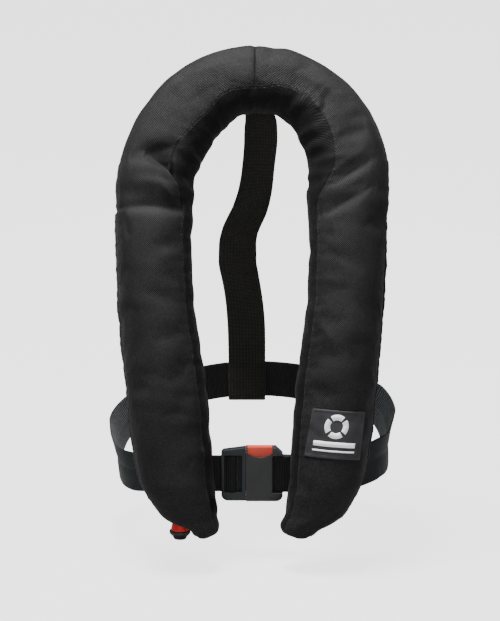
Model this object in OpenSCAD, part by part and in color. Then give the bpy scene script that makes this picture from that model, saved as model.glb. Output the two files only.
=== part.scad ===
// Inflatable life jacket: folded bladder in a horseshoe cover, waist belt with
// side-release buckle, back strap, and the gas inflator and oral tube inside.
// Millimetres, +Z up. The wearer faces -Y. The origin is the centre of the
// waist belt's loop, where the wearer's torso passes through the jacket.

/* [Cover] */
// Height of the front, from lobe tips to collar top, along its slope
front_h = 523; // [480:1:560]
// Height along the slope at which the legs end and the collar arch begins
spring_v = 371; // [340:1:390]
// Half width over the outside of the two lobes
half_w = 145; // [130:1:155]
// Half width of the neck opening
neck_half_w = 60.5; // [54:0.5:68]
// Height of the neck opening above the arch springing
neck_rise = 85; // [75:1:95]
// Depth of the packed lobe in front of its middle surface
lobe_front = 31; // [28:1:34]
// Depth of the packed lobe behind its middle surface
lobe_back = 28; // [26:1:29]
// Thickness of the cover cloth with its lining
cover_t = 1.4; // [1:0.1:1.8]

/* [Stance] */
// Lean of the front, back from vertical
lean = 15; // [10:1:18]
// Backward sweep of the collar top
collar_sweep = 0.57; // [0.4:0.01:0.7]
// Forward bulge of the lobes
belly_slope = 0.12; // [0.05:0.01:0.15]

/* [Webbing] */
// Width of the waist and back webbing
web_w = 40; // [38:1:42]
// Thickness of the webbing
web_t = 1.8; // [1.4:0.1:2]
// Half width of the waist loop
loop_half_w = 150; // [145:1:160]
// Half depth of the waist loop
loop_half_d = 98.5; // [96:0.5:110]
// Rise of the waist loop from its front to its back
loop_rise = 49; // [30:1:60]
// Outward flare of the belt's top edge at the wearer's sides
belt_flare = 13; // [4:1:16]

/* [Buckle] */
// Height of the buckle
buckle_h = 59; // [54:1:60]
// Thickness of the buckle housing
buckle_t = 13; // [12:0.5:14]
// Length of the housing along the belt
housing_l = 39.3; // [38:0.1:42]
// Length of the tongue's adjuster frame along the belt
tongue_l = 26; // [25:0.1:28]
// Travel that frees the tongue
tongue_travel = 30; // [28:1:31]
// Travel of the release button
button_travel = 3.5; // [3:0.1:3.6]

/* [Inflator] */
// Radius of the gas cylinder
gas_r = 15; // [13:0.5:15]
// Length of the gas cylinder over its neck
gas_l = 135; // [120:1:140]
// Length of the firing lever, pivot to cord
lever_l = 24; // [22:0.5:25]
// Lever angle above level at rest, and below it when fired
lever_angle = 30; // [25:1:32]
// Lift of the firing pin when the lever is pulled
pin_lift = 5; // [4:0.5:5]

/* [Oral tube] */
// Outside radius of the oral tube
oral_r = 7; // [6:0.5:7.5]
// Length of the oral tube
oral_l = 100; // [80:1:110]

/* [Hidden] */
tip_v = 2;
arch_rise = front_h - spring_v;
rise_power = 2.4;
belt_z = -loop_rise / 2;
front_gap = 46.2;
tip_y = -loop_half_d - front_gap;
tip_z = belt_z - 60;
sweep_power = 2.6;
seam_gap = 0.25;
outer_seam = -8;
top_seam_q = 2;
leg_steps = 14;
leg_crowding = 1.6;
arch_step = 9;
back_start = 4;
side_plate = 9;

$fn = 48;

// ---- middle surface of the front, as height v up its slope ----

// Outer edge of a leg, half width against height
leg_outline = [
  [2, 56], [10.6, 64.5], [18, 82], [26.5, 92.8], [48, 110.8], [64, 119.7],
  [148, 130.6], [254, 140.3], [371, 145]
];
// Section angle of the neck-side seam against station
neck_seam = [[0, 112], [50, 98], [75, 118], [90, 142], [110, 150]];
// Inner edge of a leg, half width against height
leg_inline = [
  [2, 45.5], [9.5, 42], [14, 35.5], [26, 38], [64, 41.4], [106, 43.6], [148, 47], [191, 52.5],
  [254, 61.5], [318, 64], [371, 60.5]
];
sweep_scale = collar_sweep / (sweep_power * pow(front_h, sweep_power - 1));

function bow(v) = sweep_scale * pow(v, sweep_power) - belly_slope * v;
function bow_slope(v) = sweep_power * sweep_scale * pow(v, sweep_power - 1) - belly_slope;
function tilt(v) = lean + atan(bow_slope(v));

// Point of the jacket at side x, height v up the slope and w in front of its middle surface
function sheet(x, v, w) = [
  x,
  tip_y + v * sin(lean) + bow(v) * cos(lean) - w * cos(tilt(v)),
  tip_z + v * cos(lean) - bow(v) * sin(lean) + w * sin(tilt(v))
];

// A station q runs from the wearer's right tip (negative) over the collar (0) to the left tip.
// Within 90 it is the arch angle from the top; beyond 90 it counts millimetres down a leg.
function leg_v(q) = spring_v - (abs(q) - 90);
function edge_dir(q) = abs(q) <= 90 ? [sin(q), cos(q)] : [sign(q), 0];
function inner_edge(q) = abs(q) <= 90
  ? [neck_half_w * sin(q), spring_v + neck_rise * cos(q)]
  : [sign(q) * lookup(leg_v(q), leg_inline) * neck_half_w / 60.5, leg_v(q)];
function outer_edge(q) = abs(q) <= 90
  ? [half_w * sin(q), spring_v + arch_rise * cos(q)]
  : [sign(q) * lookup(leg_v(q), leg_outline) * half_w / 145, leg_v(q)];
function inner_seam(q) = lookup(abs(q), neck_seam);
function fullness(q) = abs(q) <= 90 ? 1 : min(1, 0.35 + 0.65 * sqrt(leg_v(q) / 60));

// Lobe section as [across, depth]; angle 0 is the outer edge, 90 the front, 180 the neck side
function section(h, k, a) =
  let (c = cos(a), s = sin(a), lead = 1 - 0.22 * max(0, s))
  [
    c >= 0 ? h * pow(c, 0.75) : -h * pow(-c, 0.75) * lead,
    s >= 0 ? lobe_front * k * pow(s, 0.85) : -lobe_back * k * pow(-s, 0.6)
  ];

function unit(p) = p / norm(p);
function section_normal(h, k, a) =
  let (t = section(h, k, a + 3) - section(h, k, a - 3))
  unit([t[1], -t[0]]);

// Surface point at station q, section angle a, standing out by off
function skin(q, a, off) =
  let (
    pin = inner_edge(q),
    pout = outer_edge(q),
    half = norm(pout - pin) / 2,
    dir = unit(pout - pin),
    k = fullness(q),
    s = section(half, k, a) + off * section_normal(half, k, a),
    mid = (pin + pout) / 2 + s[0] * dir
  )
  sheet(mid[0], mid[1], s[1]);

function leg_q(i) = 90 + (spring_v - tip_v) * (1 - pow(i / leg_steps, leg_crowding));
function arch_qs(from, to) = [for (q = [from : arch_step : to]) q];
function right_leg(first) = [for (i = [first : leg_steps]) -leg_q(i)];
function left_leg(first) = [for (i = [leg_steps : -1 : first]) leg_q(i)];
function whole_rim(first) = concat(right_leg(first), arch_qs(-81, 81), left_leg(first));

// ---- closed sweeps ----

// Rings of points, each turning the same way about the sweep's direction
module sweep(rings) {
  m = len(rings[0]);
  n = len(rings);
  points = [for (ring = rings) each ring];
  sides = [
    for (i = [0 : n - 2], j = [0 : m - 1])
      let (a = i * m + j, b = i * m + (j + 1) % m, c = b + m, d = a + m)
      each [[a, c, b], [a, d, c]]
  ];
  start = [
    for (j = [0 : m / 2 - 2])
      each [[j, j + 1, m - 2 - j], [j, m - 2 - j, m - 1 - j]]
  ];
  last = (n - 1) * m;
  end = [for (f = start) [last + f[0], last + f[2], last + f[1]]];
  polyhedron(points = points, faces = concat(sides, start, end), convexity = 6);
}

// Skin panel between two offsets; from and to give its section angles at a station
module panel(qs, from, to, steps, inside, outside) {
  sweep([
    for (q = qs)
      let (angles = [for (i = [0 : steps]) from(q) + (to(q) - from(q)) * i / steps])
      concat(
        [for (i = [0 : steps]) skin(q, angles[i], outside)],
        [for (i = [steps : -1 : 0]) skin(q, angles[i], inside)]
      )
  ]);
}

// Flat webbing along a path; across[i] is the unit direction of its width
module tape(path, across, width, thick) {
  n = len(path);
  sweep([
    for (i = [0 : n - 1])
      let (
        t = unit(path[min(i + 1, n - 1)] - path[max(i - 1, 0)]),
        u = across[i] * width / 2,
        w = unit(cross(t, across[i])) * thick / 2
      )
      [path[i] + u + w, path[i] - u + w, path[i] - u - w, path[i] + u - w]
  ]);
}

// Coil spring standing on z = 0
module coil(r, wire, turns, height) {
  steps = 12 * turns;
  pitch = (height - 2 * wire) / steps;
  sweep([
    for (i = [0 : steps])
      let (a = 30 * i, radial = [cos(a), sin(a), 0], c = r * radial + [0, 0, wire + pitch * i])
      [for (b = [0 : 60 : 300]) c + wire * (cos(b) * [0, 0, 1] + sin(b) * radial)]
  ]);
}

// Round cord along a path in the plane whose normal is given
module round_cord(path, r, plane) {
  n = len(path);
  sweep([
    for (i = [0 : n - 1])
      let (
        t = unit(path[min(i + 1, n - 1)] - path[max(i - 1, 0)]),
        e = unit(cross(plane, t))
      )
      [for (b = [0 : 45 : 315]) path[i] + r * (cos(b) * plane + sin(b) * -e)]
  ]);
}

// ---- cover ----

cover_black = "#2b2a2b";
at_outer_seam = function (q) outer_seam + seam_gap;
to_neck_seam = function (q) inner_seam(q) - seam_gap;
from_neck_seam = function (q) inner_seam(q) + seam_gap;
round_to_outer_seam = function (q) 360 + outer_seam - seam_gap;

module cover_front_left() {
  qs = concat([top_seam_q + seam_gap], arch_qs(9, 81), left_leg(0));
  color(cover_black)
    panel(qs, at_outer_seam, to_neck_seam, 10, -cover_t, 0);
}

module cover_front_right() {
  qs = concat(right_leg(0), arch_qs(-81, -9), [top_seam_q - seam_gap]);
  color(cover_black)
    panel(qs, at_outer_seam, to_neck_seam, 10, -cover_t, 0);
}

module cover_back() {
  color("#1c1c1e")
    panel(whole_rim(back_start), from_neck_seam, round_to_outer_seam, 12, -cover_t, 0);
}

// Sewn cord standing proud of the outer seam
module edge_piping() {
  bead = 1.2;
  color("#3a3a3d")
    sweep([
      for (q = whole_rim(1))
        let (
          c = skin(q, outer_seam, bead + 0.2),
          out = unit(skin(q, outer_seam, bead + 1) - c),
          side = unit(skin(q, outer_seam + 4, bead + 0.2) - c)
        )
        [for (b = [0 : 60 : 300]) c + bead * (cos(b) * out + sin(b) * side)]
    ]);
}

module closure_hook_tape() {
  color("#111113")
    panel(whole_rim(3), function (q) 7, function (q) 19, 1, -cover_t - 1.6, -cover_t - 0.8);
}

module closure_loop_tape() {
  color("#18181a")
    panel(whole_rim(3), function (q) 7, function (q) 19, 1, -cover_t - 2.6, -cover_t - 1.8);
}

function label_qs() = [for (v = [139 : -12.75 : 88]) 90 + spring_v - v];

module label_patch() {
  color("#3d3d40")
    panel(label_qs(), function (q) 62, function (q) 121, 8, 0.3, 1.2);
}

// Plain square mark on the label, with a bar under it
module label_mark() {
  mark_v = 121;
  color("#e8e8e6")
    panel([for (v = [mark_v + 9 : -4.5 : mark_v - 9]) 90 + spring_v - v],
      function (q) 80, function (q) 103, 4, 1.35, 1.75);
  color("#e8e8e6")
    panel([for (v = [101 : -2 : 97]) 90 + spring_v - v],
      function (q) 72, function (q) 111, 5, 1.35, 1.75);
}

// ---- bladder ----

// Deepest that the folded bladder reaches; it leaves room for the fittings in the legs
function bladder_floor(q) = abs(q) <= 90 || leg_v(q) > 330 ? -lobe_back + 5 : (q < 0 ? 14 : 4);

module bladder() {
  inset = 7;
  slices = 18;
  color("#d9b310")
    sweep([
      for (q = whole_rim(3))
        let (
          pin = inner_edge(q),
          pout = outer_edge(q),
          dir = unit(pout - pin),
          half = norm(pout - pin) / 2,
          k = fullness(q),
          top = lobe_front * k - inset,
          low = -lobe_back * k + inset,
          squeeze = (top - max(low, min(bladder_floor(q), top - 8))) / (top - low),
          mid = (pin + pout) / 2
        )
        [
          for (i = [0 : slices - 1])
            let (
              a = 360 * (i + 0.5) / slices,
              s = section(half, k, a) - inset * section_normal(half, k, a),
              p = mid + dir * s[0] * (0.8 + 0.2 * squeeze)
            )
            sheet(p[0], p[1], top - (top - s[1]) * squeeze)
        ]
    ]);
}

module reflective_patches() {
  for (s = [-1, 1])
    color("#c9ccd0")
      panel([for (v = s < 0 ? [190 : 20 : 270] : [270 : -20 : 190]) s * (90 + spring_v - v)],
        function (q) 70, function (q) 104, 3, -cover_t - 2.2, -cover_t - 1.4);
}

// ---- webbing ----

webbing_black = "#20262a";
buckle_y = -loop_half_d;
ply_gap = 1.2;
bar_wrap_r = 4.2;
adjuster_bar_x = -20.4;
housing_x0 = -7;
housing_x1 = housing_x0 + housing_l;
bar_w = 5.3;
fold_x = housing_x1 - bar_w + 1;
front_run_end = -95;
belt_end_x = -128;

// Height of the belt's middle: level across the front, climbing towards the back
function belt_level(y) =
  belt_z + loop_rise * pow(max(0, (y + loop_half_d) / (2 * loop_half_d)), rise_power);
function ahead(p) = [p[0], p[1], belt_level(p[1])];

// Plan of the waist loop: squarer in front, elliptical behind
function loop_point(a) =
  let (c = cos(a), s = sin(a), e = s < 0 ? 0.5 : 1)
  [
    loop_half_w * sign(c) * pow(abs(c), e),
    loop_half_d * sign(s) * pow(abs(s), e)
  ];

// Two plies that part at distance meet from a bar at bar_x, run apart over the length apart,
// and wrap half round the bar; s is 1 or -1 along x
function wrap_points(bar_x, s, apart, meet) = concat(
  [[bar_x + s * 34, buckle_y - ply_gap], [bar_x + s * meet, buckle_y - ply_gap]],
  [for (a = [-90 : 22.5 : 90])
    [bar_x - s * bar_wrap_r * cos(a) + s * (abs(a) == 90 ? apart : 0), buckle_y + bar_wrap_r * sin(a)]],
  [[bar_x + s * meet, buckle_y + ply_gap], [bar_x + s * 34, buckle_y + ply_gap]]
);

module waist_belt() {
  start_a = -acos(pow(78 / loop_half_w, 2));
  end_a = 180 + acos(pow(abs(belt_end_x) / loop_half_w, 2));
  fold = wrap_points(fold_x, 1, 5, 20);
  angles = [for (i = [0 : 48]) start_a + (end_a - start_a) * i / 48];
  path = concat([for (p = fold) ahead(p)], [for (a = angles) ahead(loop_point(a))]);
  across = concat(
    [for (p = fold) [0, 0, 1]],
    [for (a = angles) unit([belt_flare * cos(a) * abs(cos(a)), 0, web_w])]
  );
  color(webbing_black) tape(path, across, web_w, web_t);
}

// Webbing between the left lobe and the adjuster bar, with the free tail in front of it
module belt_adjuster_end() {
  wrap = wrap_points(adjuster_bar_x, -1, 1, 9.5);
  path = concat(
    [[front_run_end + 3, buckle_y - ply_gap]], wrap, [[front_run_end, buckle_y + ply_gap]]
  );
  color(webbing_black) tape([for (p = path) ahead(p)], [for (p = path) [0, 0, 1]], web_w, web_t);
}

// Rectangular ring round the belt, x being its middle
module belt_ring(x, y, length, room_y, room_z, wall) {
  translate([x, y, belt_z])
    difference() {
      cube([length, room_y + 2 * wall, room_z + 2 * wall], center = true);
      cube([length + 2, room_y, room_z], center = true);
    }
}

module tail_keeper() {
  color("#141416") belt_ring(-48, buckle_y, 8, 5.4, web_w + 1, 1.2);
}

module belt_loops() {
  color("#1f2022") belt_ring(-100, buckle_y, 16, 6.4, web_w + 2, 1.2);
  color("#1f2022") belt_ring(80, buckle_y + 1.6, 16, 6.4, web_w + 2, 1.2);
}

// Strap sewn under the collar, hanging to the back of the belt and folded round it
module back_strap() {
  under = -lobe_back - 1.5;
  rear_y = loop_half_d;
  rear_z = belt_level(rear_y);
  turn_r = 3.5;
  turn_z = rear_z - web_w / 2 - 1;
  top = sheet(0, 478, under);
  drift = function (z) 7 - 11 * (top[2] - z) / (top[2] - turn_z) - 18 * exp(-pow((z - 172) / 48, 2));
  hang_steps = 26;
  hang = [
    for (i = [1 : hang_steps])
      let (t = i / hang_steps)
      [0, top[1] + (rear_y - turn_r - top[1]) * t, top[2] + (rear_z + web_w / 2 - top[2]) * t]
  ];
  turn = [for (a = [180 : 30 : 360]) [0, rear_y + turn_r * cos(a), turn_z + turn_r * sin(a)]];
  path = concat([sheet(0, 502, under), top], hang, turn,
    [[0, rear_y + turn_r, rear_z + 22], [0, rear_y + 0.5, rear_z + 52]]);
  color(webbing_black)
    tape([for (p = path) [drift(max(turn_z, min(p[2], top[2]))), p[1], p[2]]],
      [for (p = path) [1, 0, 0]], web_w, web_t);
}

// ---- buckle ----

plastic_dark = "#3b3c3e";
bar_room = 20.7;
blade_h = 13.7;
blade_t = 7.8;
button_w = 27;
button_x = housing_x0 + 1.4 + button_w / 2;
button_arc_r = 22;
button_arc_z = 41;
button_floor = 15.1;
spring_r = 2.2;
spring_h = 9;

module at_buckle() {
  translate([0, buckle_y, belt_z]) children();
}

// Rounded rectangle in x and z, as thick as t along y
module rounded_block(w, h, r, t) {
  rotate([90, 0, 0])
    linear_extrude(t, center = true)
      union() {
        square([w - 2 * r, h], center = true);
        square([w, h - 2 * r], center = true);
        for (x = [-1, 1], z = [-1, 1])
          translate([x * (w / 2 - r), z * (h / 2 - r)]) circle(r);
      }
}

// Arc from one angle to another, as points in a plane
function arc(x, z, r, from, to) =
  [for (i = [0:6]) let (a = from + (to - from) * i / 6) [x + r * cos(a), z + r * sin(a)]];

// Outline square towards the housing, rounded towards the strap and lower there by drop
module frame_outline(w, h, drop) {
  high_r = 4;
  low_r = 7;
  polygon(concat(
    [[w / 2, -h / 2], [w / 2, h / 2]],
    arc(high_r - w / 2, h / 2 - drop - high_r, high_r, 98, 180),
    arc(low_r - w / 2, low_r - h / 2, low_r, 180, 270)
  ));
}

module buckle_housing() {
  cavity_l = 26;
  slot_w = 6;
  lip_t = 2;
  bar_half_t = 2.8;
  chamfer = 7.5;
  color(plastic_dark)
    at_buckle()
      difference() {
        translate([(housing_x0 + housing_x1) / 2, 0, 0])
          rotate([90, 0, 0])
            linear_extrude(buckle_t, center = true)
              mirror([1, 0]) frame_outline(housing_l, buckle_h, 0);
        translate([housing_x1, 0, buckle_h / 2])
          rotate([0, 45, 0])
            cube([chamfer * sqrt(2), 2 * buckle_t, chamfer * sqrt(2)], center = true);
        translate([housing_x0 - 1, -blade_t / 2 - 0.15, -blade_h - 0.15])
          cube([cavity_l + 1, blade_t + 0.3, 2 * blade_h + 0.3]);
        translate([housing_x1 - bar_w - slot_w, -buckle_t, -bar_room])
          cube([slot_w, 2 * buckle_t, 2 * bar_room]);
        for (y = [bar_half_t, -bar_half_t - buckle_t])
          translate([housing_x1 - bar_w - 1, y, -bar_room])
            cube([bar_w + 2, buckle_t, 2 * bar_room]);
        translate([button_x - button_w / 2 - 0.1, -buckle_t / 2 + lip_t, button_floor - 0.1])
          cube([button_w + 0.2, buckle_t - 2 * lip_t, buckle_h]);
        intersection() {
          translate([button_x - button_w / 2 - 0.1, -buckle_t, 0])
            cube([button_w + 0.2, buckle_t, buckle_h]);
          translate([button_x, 0, button_arc_z])
            rotate([90, 0, 0]) cylinder(h = buckle_t, r = button_arc_r);
        }
      }
}

// Adjuster frame with its bar, and the blade that plugs into the housing
module buckle_tongue() {
  frame_t = 9;
  web_slot = 5.4;
  frame_x = housing_x0 - 0.3 - tongue_l / 2;
  color("#2e3436")
    at_buckle() {
      difference() {
        translate([frame_x, 0, 0])
          rotate([90, 0, 0])
            linear_extrude(frame_t, center = true) frame_outline(tongue_l, buckle_h, 3);
        translate([frame_x - tongue_l / 2 + 3, -frame_t, -bar_room])
          cube([19, 2 * frame_t, 2 * bar_room]);
        translate([frame_x - tongue_l / 2 - 1, -web_slot / 2, -bar_room])
          cube([5, web_slot, 2 * bar_room]);
      }
      translate([adjuster_bar_x, 0, -bar_room - 2])
        cylinder(h = 2 * bar_room + 4, r = 3);
      difference() {
        translate([housing_x0 - 3, -blade_t / 2, -blade_h])
          cube([26, blade_t, 2 * blade_h]);
        translate([housing_x0 + 12, -blade_t, blade_h - 4])
          cube([5, 2 * blade_t, 5]);
        translate([housing_x0 + 4, -blade_t, -6])
          cube([20, 2 * blade_t, 12]);
      }
    }
}

module release_button() {
  depth = buckle_t - 4 - 0.4;
  button_z0 = button_floor + button_travel + 0.1;
  color("#d8503c")
    at_buckle()
      difference() {
        translate([button_x - button_w / 2 + 0.1, -depth / 2, button_z0])
          cube([button_w - 0.2, depth, buckle_h / 2 + 0.5 - button_z0]);
        translate([button_x, 0, button_z0 - 1])
          cylinder(h = spring_h - button_travel + 0.9, r = spring_r + 0.7);
      }
}

module button_spring() {
  color("silver")
    at_buckle()
      translate([button_x, 0, button_floor]) coil(spring_r, 0.35, 5, spring_h - 0.2);
}

// ---- gas inflator, in the wearer's right lobe ----

fitting_v = 190;
inflator_x = -98;
inflator_w = -8;
body_half_w = 17;
body_half_d = 11;
body_top = -62;
body_bottom = -116;
pivot_z = -90;
lever_y = 3;
lever_t = 5;
lever_half_w = 2.5;
pivot_r = 2;
running = 0.05;
hub_r = 5;
neck_r = 6.35;
neck_z = -71.6;
mouth_r = 2.6;
pin_r = 2.05;
pin_head_z = pivot_z + hub_r + 0.1;
spring_room_top = -75.5;
cartridge_r = 9;
stem_x = -10.5;
stem_z = -98;
stem_r = 4;

module at_inflator() {
  translate(sheet(inflator_x, fitting_v, inflator_w))
    rotate([-tilt(fitting_v), 0, 0]) children();
}

// Cylinder along y, from y0 to y1
module cross_cylinder(x, z, r, y0, y1) {
  translate([x, y1, z]) rotate([90, 0, 0]) cylinder(h = y1 - y0, r = r);
}

module inflator_body() {
  mouth_h = 13;
  slot_half_t = lever_t / 2 + 0.25;
  color("#26282b")
    at_inflator()
      difference() {
        translate([0, 0, (body_top + body_bottom) / 2])
          rounded_block(2 * body_half_w, body_top - body_bottom, 5, 2 * body_half_d);
        translate([0, 0, neck_z - 1.7]) cylinder(h = 20, r = neck_r + running);
        translate([0, 0, pivot_z]) cylinder(h = neck_z - pivot_z, r = pin_r + 0.1);
        translate([0, 0, pivot_z])
          cylinder(h = spring_room_top - pivot_z, r = 4.2);
        translate([0, 0, body_bottom - 1])
          cylinder(h = 11, r = cartridge_r + running);
        translate([0, lever_y, pivot_z])
          rotate([90, 0, 0])
            linear_extrude(2 * slot_half_t, center = true)
              polygon([
                [-6, -6.8], [-6, 6], [4.4, 6], [5, 6.8], [17.5, 14.6], [17.5, -14.6], [5, -6.8]
              ]);
        cross_cylinder(0, pivot_z, pivot_r + 0.03, -mouth_h, mouth_h);
        cross_cylinder(stem_x, stem_z, stem_r + 0.1, -mouth_h, mouth_h);
        cross_cylinder(11, -70, 3.05, body_half_d - 2, mouth_h);
      }
}

// Bottle profile from the axis to radius r, with its neck n wide, ending dome below top
module bottle(r, n, dome) {
  top = neck_z + gas_l;
  union() {
    translate([0, neck_z - 1]) square([n, 17]);
    polygon([
      [0, neck_z + 14], [n, neck_z + 14], [r - 6.5, neck_z + 17], [r - 2.5, neck_z + 22],
      [r, neck_z + 30], [r, top - dome - r], [0, top - dome - r]
    ]);
    intersection() {
      translate([0, top - dome - r]) circle(r);
      translate([0, top - dome - r - 1]) square([r, r + 1]);
    }
  }
}

module co2_cylinder() {
  wall = 2;
  color("#b9bdc1")
    at_inflator()
      rotate_extrude()
        difference() {
          bottle(gas_r, neck_r, 0);
          bottle(gas_r - wall, mouth_r, wall);
          translate([-1, neck_z - 2]) square([neck_r + 2, 2]);
        }
}

// Thin disc across the cylinder's mouth, which the firing pin pierces
module cylinder_seal() {
  color("#d8c27a")
    at_inflator()
      translate([0, 0, neck_z + 4.2]) cylinder(h = 0.8, r = mouth_r);
}

module cylinder_gasket() {
  color("#7a1f1a")
    at_inflator()
      translate([0, 0, neck_z - 1.6])
        difference() {
          cylinder(h = 1.5, r = neck_r - 0.1);
          translate([0, 0, -1]) cylinder(h = 4, r = 2.8);
        }
}

// Level arm from the pivot, turned up by the rest angle, with an eye for the cord
module inflator_lever() {
  eye_r = 4;
  color("#c8321f")
    at_inflator()
      translate([0, lever_y, pivot_z])
        rotate([0, -lever_angle, 0])
          difference() {
            union() {
              cross_cylinder(0, 0, hub_r, -lever_t / 2, lever_t / 2);
              cross_cylinder(lever_l, 0, eye_r, -lever_t / 2, lever_t / 2);
              translate([0, -lever_t / 2, -lever_half_w])
                cube([lever_l, lever_t, 2 * lever_half_w]);
            }
            cross_cylinder(0, 0, pivot_r + running, -lever_t, lever_t);
            cross_cylinder(lever_l, 0, pivot_r + running, -lever_t, lever_t);
          }
}

module lever_pin() {
  color("silver")
    at_inflator()
      cross_cylinder(0, pivot_z, pivot_r, -body_half_d, body_half_d);
}

module firing_pin() {
  color("#9a9da0")
    at_inflator()
      rotate_extrude()
        polygon([
          [0, pin_head_z], [3.9, pin_head_z], [3.9, pin_head_z + 1], [pin_r, pin_head_z + 1],
          [pin_r, spring_room_top + 0.8], [0.3, neck_z - 1.9], [0, neck_z - 1.9]
        ]);
}

module firing_spring() {
  z0 = pin_head_z + 1.02;
  color("silver")
    at_inflator()
      translate([0, 0, z0]) coil(3, 0.4, 3, spring_room_top - z0 - 0.05);
}

module auto_cartridge() {
  color("#e6d9a8")
    at_inflator()
      translate([0, 0, body_bottom - 12.8]) cylinder(h = 22.6, r = cartridge_r);
}

module cartridge_cap() {
  cap_r = 13;
  cap_h = 15;
  color("#2f6f3a")
    at_inflator()
      translate([0, 0, body_bottom - cap_h - 0.1])
        difference() {
          cylinder(h = cap_h, r = cap_r);
          translate([0, 0, 2]) cylinder(h = cap_h, r = cartridge_r + running);
          for (a = [0 : 30 : 330])
            rotate([0, 0, a]) translate([cap_r + 0.4, 0, -1]) cylinder(h = cap_h + 2, r = 1.2);
        }
}

module manifold_stem() {
  flange_y = -17.6;
  color("#c4c7ca")
    at_inflator()
      difference() {
        union() {
          cross_cylinder(stem_x, stem_z, 8.2, flange_y, flange_y + 1.6);
          cross_cylinder(stem_x, stem_z, stem_r, flange_y, body_half_d + 4);
        }
        cross_cylinder(stem_x, stem_z, 1.6, flange_y - 1, 0);
      }
}

module manifold_gasket() {
  color("#161616")
    at_inflator()
      difference() {
        cross_cylinder(stem_x, stem_z, 7, -15.9, -body_half_d - 0.1);
        cross_cylinder(stem_x, stem_z, stem_r + 0.05, -20, 0);
      }
}

module manifold_nut() {
  color("#d9dbdd")
    at_inflator()
      difference() {
        translate([stem_x, body_half_d + 3.8, stem_z])
          rotate([90, 0, 0]) cylinder(h = 3.7, r = 6.2, $fn = 6);
        cross_cylinder(stem_x, stem_z, stem_r + 0.05, 0, 30);
      }
}

module status_indicator() {
  color("#2fae4a")
    at_inflator()
      cross_cylinder(11, -70, 3, body_half_d - 1.9, body_half_d + 0.4);
}

// ---- pull cord and handle, hanging plumb from the lever's eye ----

eye = [lever_l * cos(lever_angle), lever_y, pivot_z + lever_l * sin(lever_angle)];
gas_origin = sheet(inflator_x, fitting_v, inflator_w);
knot = eye - [0, 0, 8];
cord_top = gas_origin + [
  knot[0],
  knot[1] * cos(tilt(fitting_v)) + knot[2] * sin(tilt(fitting_v)),
  -knot[1] * sin(tilt(fitting_v)) + knot[2] * cos(tilt(fitting_v))
];
handle_z = tip_z - 6;
handle_top = tip_z + 22;

module at_handle(z) {
  translate([cord_top[0], cord_top[1], z]) children();
}

module pull_cord() {
  side_y = lever_t / 2 + 0.3;
  side_t = 1.6;
  color("#1b1b1d") {
    at_inflator()
      translate(eye) {
        cross_cylinder(0, 0, pivot_r, -side_y - side_t, side_y + side_t);
        for (y = [-side_y - side_t, side_y])
          translate([-2.5, y, -9]) cube([5, side_t, 11.5]);
        translate([-2.5, -side_y - side_t, -9]) cube([5, 2 * (side_y + side_t), 3]);
      }
    at_handle(handle_top - 14) cylinder(h = cord_top[2] - handle_top + 14, r = 1.5);
  }
}

// Tapered grip that stands on the end's flange
module pull_handle() {
  foot = handle_z + 9.9;
  color("#a01f1f")
    at_handle(0)
      rotate_extrude()
        polygon([
          [1.6, foot], [9.8, foot], [9.4, foot + 2], [8, foot + 9], [5.6, foot + 16],
          [4.4, handle_top], [1.6, handle_top]
        ]);
}

module handle_end() {
  color("#1d1d1f")
    at_handle(handle_z)
      union() {
        cylinder(h = 6.9, r = 7);
        translate([0, 0, 6.9]) cylinder(h = 2.9, r = 11.2);
        cylinder(h = 12, r = 1.5);
      }
}

// ---- oral tube, whistle ----

oral_x = 98;
oral_w = -12;
oral_top = 30;
valve_r = 9.5;
valve_bore = 5;
seat_z = 38;
stem_top = 57.5;

module at_oral() {
  translate(sheet(oral_x, fitting_v, oral_w))
    rotate([-tilt(fitting_v), 0, 0]) children();
}

module oral_tube() {
  port_z = oral_top - oral_l + 9;
  color("#d9b310")
    at_oral()
      difference() {
        union() {
          translate([0, 0, oral_top - oral_l]) cylinder(h = oral_l, r = oral_r);
          cross_cylinder(0, port_z, 5, -13.5, 0);
        }
        translate([0, 0, oral_top - oral_l + 3]) cylinder(h = oral_l, r = 4.5);
        cross_cylinder(0, port_z, 3, -20, 0);
      }
}

module oral_valve_body() {
  color("#161719")
    at_oral()
      difference() {
        translate([0, 0, oral_top + 0.05]) cylinder(h = 28, r = valve_r);
        translate([0, 0, oral_top - 1]) cylinder(h = seat_z - oral_top + 1, r = valve_bore);
        translate([0, 0, seat_z - 1]) cylinder(h = 5, r = 2.6);
        translate([0, 0, seat_z + 2]) cylinder(h = 30, r = valve_bore);
      }
}

module valve_poppet() {
  color("#e8e8e6")
    at_oral()
      union() {
        translate([0, 0, seat_z - 2.5]) cylinder(h = 2.4, r = 4.5);
        translate([0, 0, seat_z - 1]) cylinder(h = stem_top - seat_z + 1, r = 1.9);
        translate([0, 0, stem_top - 4]) cylinder(h = 1.5, r = 4.2);
      }
}

module valve_spring() {
  color("silver")
    at_oral()
      translate([0, 0, seat_z + 2.05]) coil(3.2, 0.35, 5, stem_top - 4 - seat_z - 2.1);
}

module oral_cap() {
  color("#1a1b1d")
    at_oral()
      translate([0, 0, 46])
        difference() {
          cylinder(h = 16, r = 11.5);
          translate([0, 0, -1]) cylinder(h = 15, r = valve_r + 0.2);
        }
}

module whistle() {
  color("#e0701c")
    at_oral()
      translate([-26, 0, -27])
        difference() {
          union() {
            translate([-6, -3.5, 0]) cube([12, 7, 27]);
            translate([-7, 0, -6]) rotate([0, 90, 0]) cylinder(h = 14, r = 9);
          }
          translate([-4.5, -2, 2]) cube([9, 4, 30]);
          translate([-5.5, 0, -6]) rotate([0, 90, 0]) cylinder(h = 11, r = 7.4);
          translate([-4.5, 0, 0]) cube([9, 6, 6]);
        }
}

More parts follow.
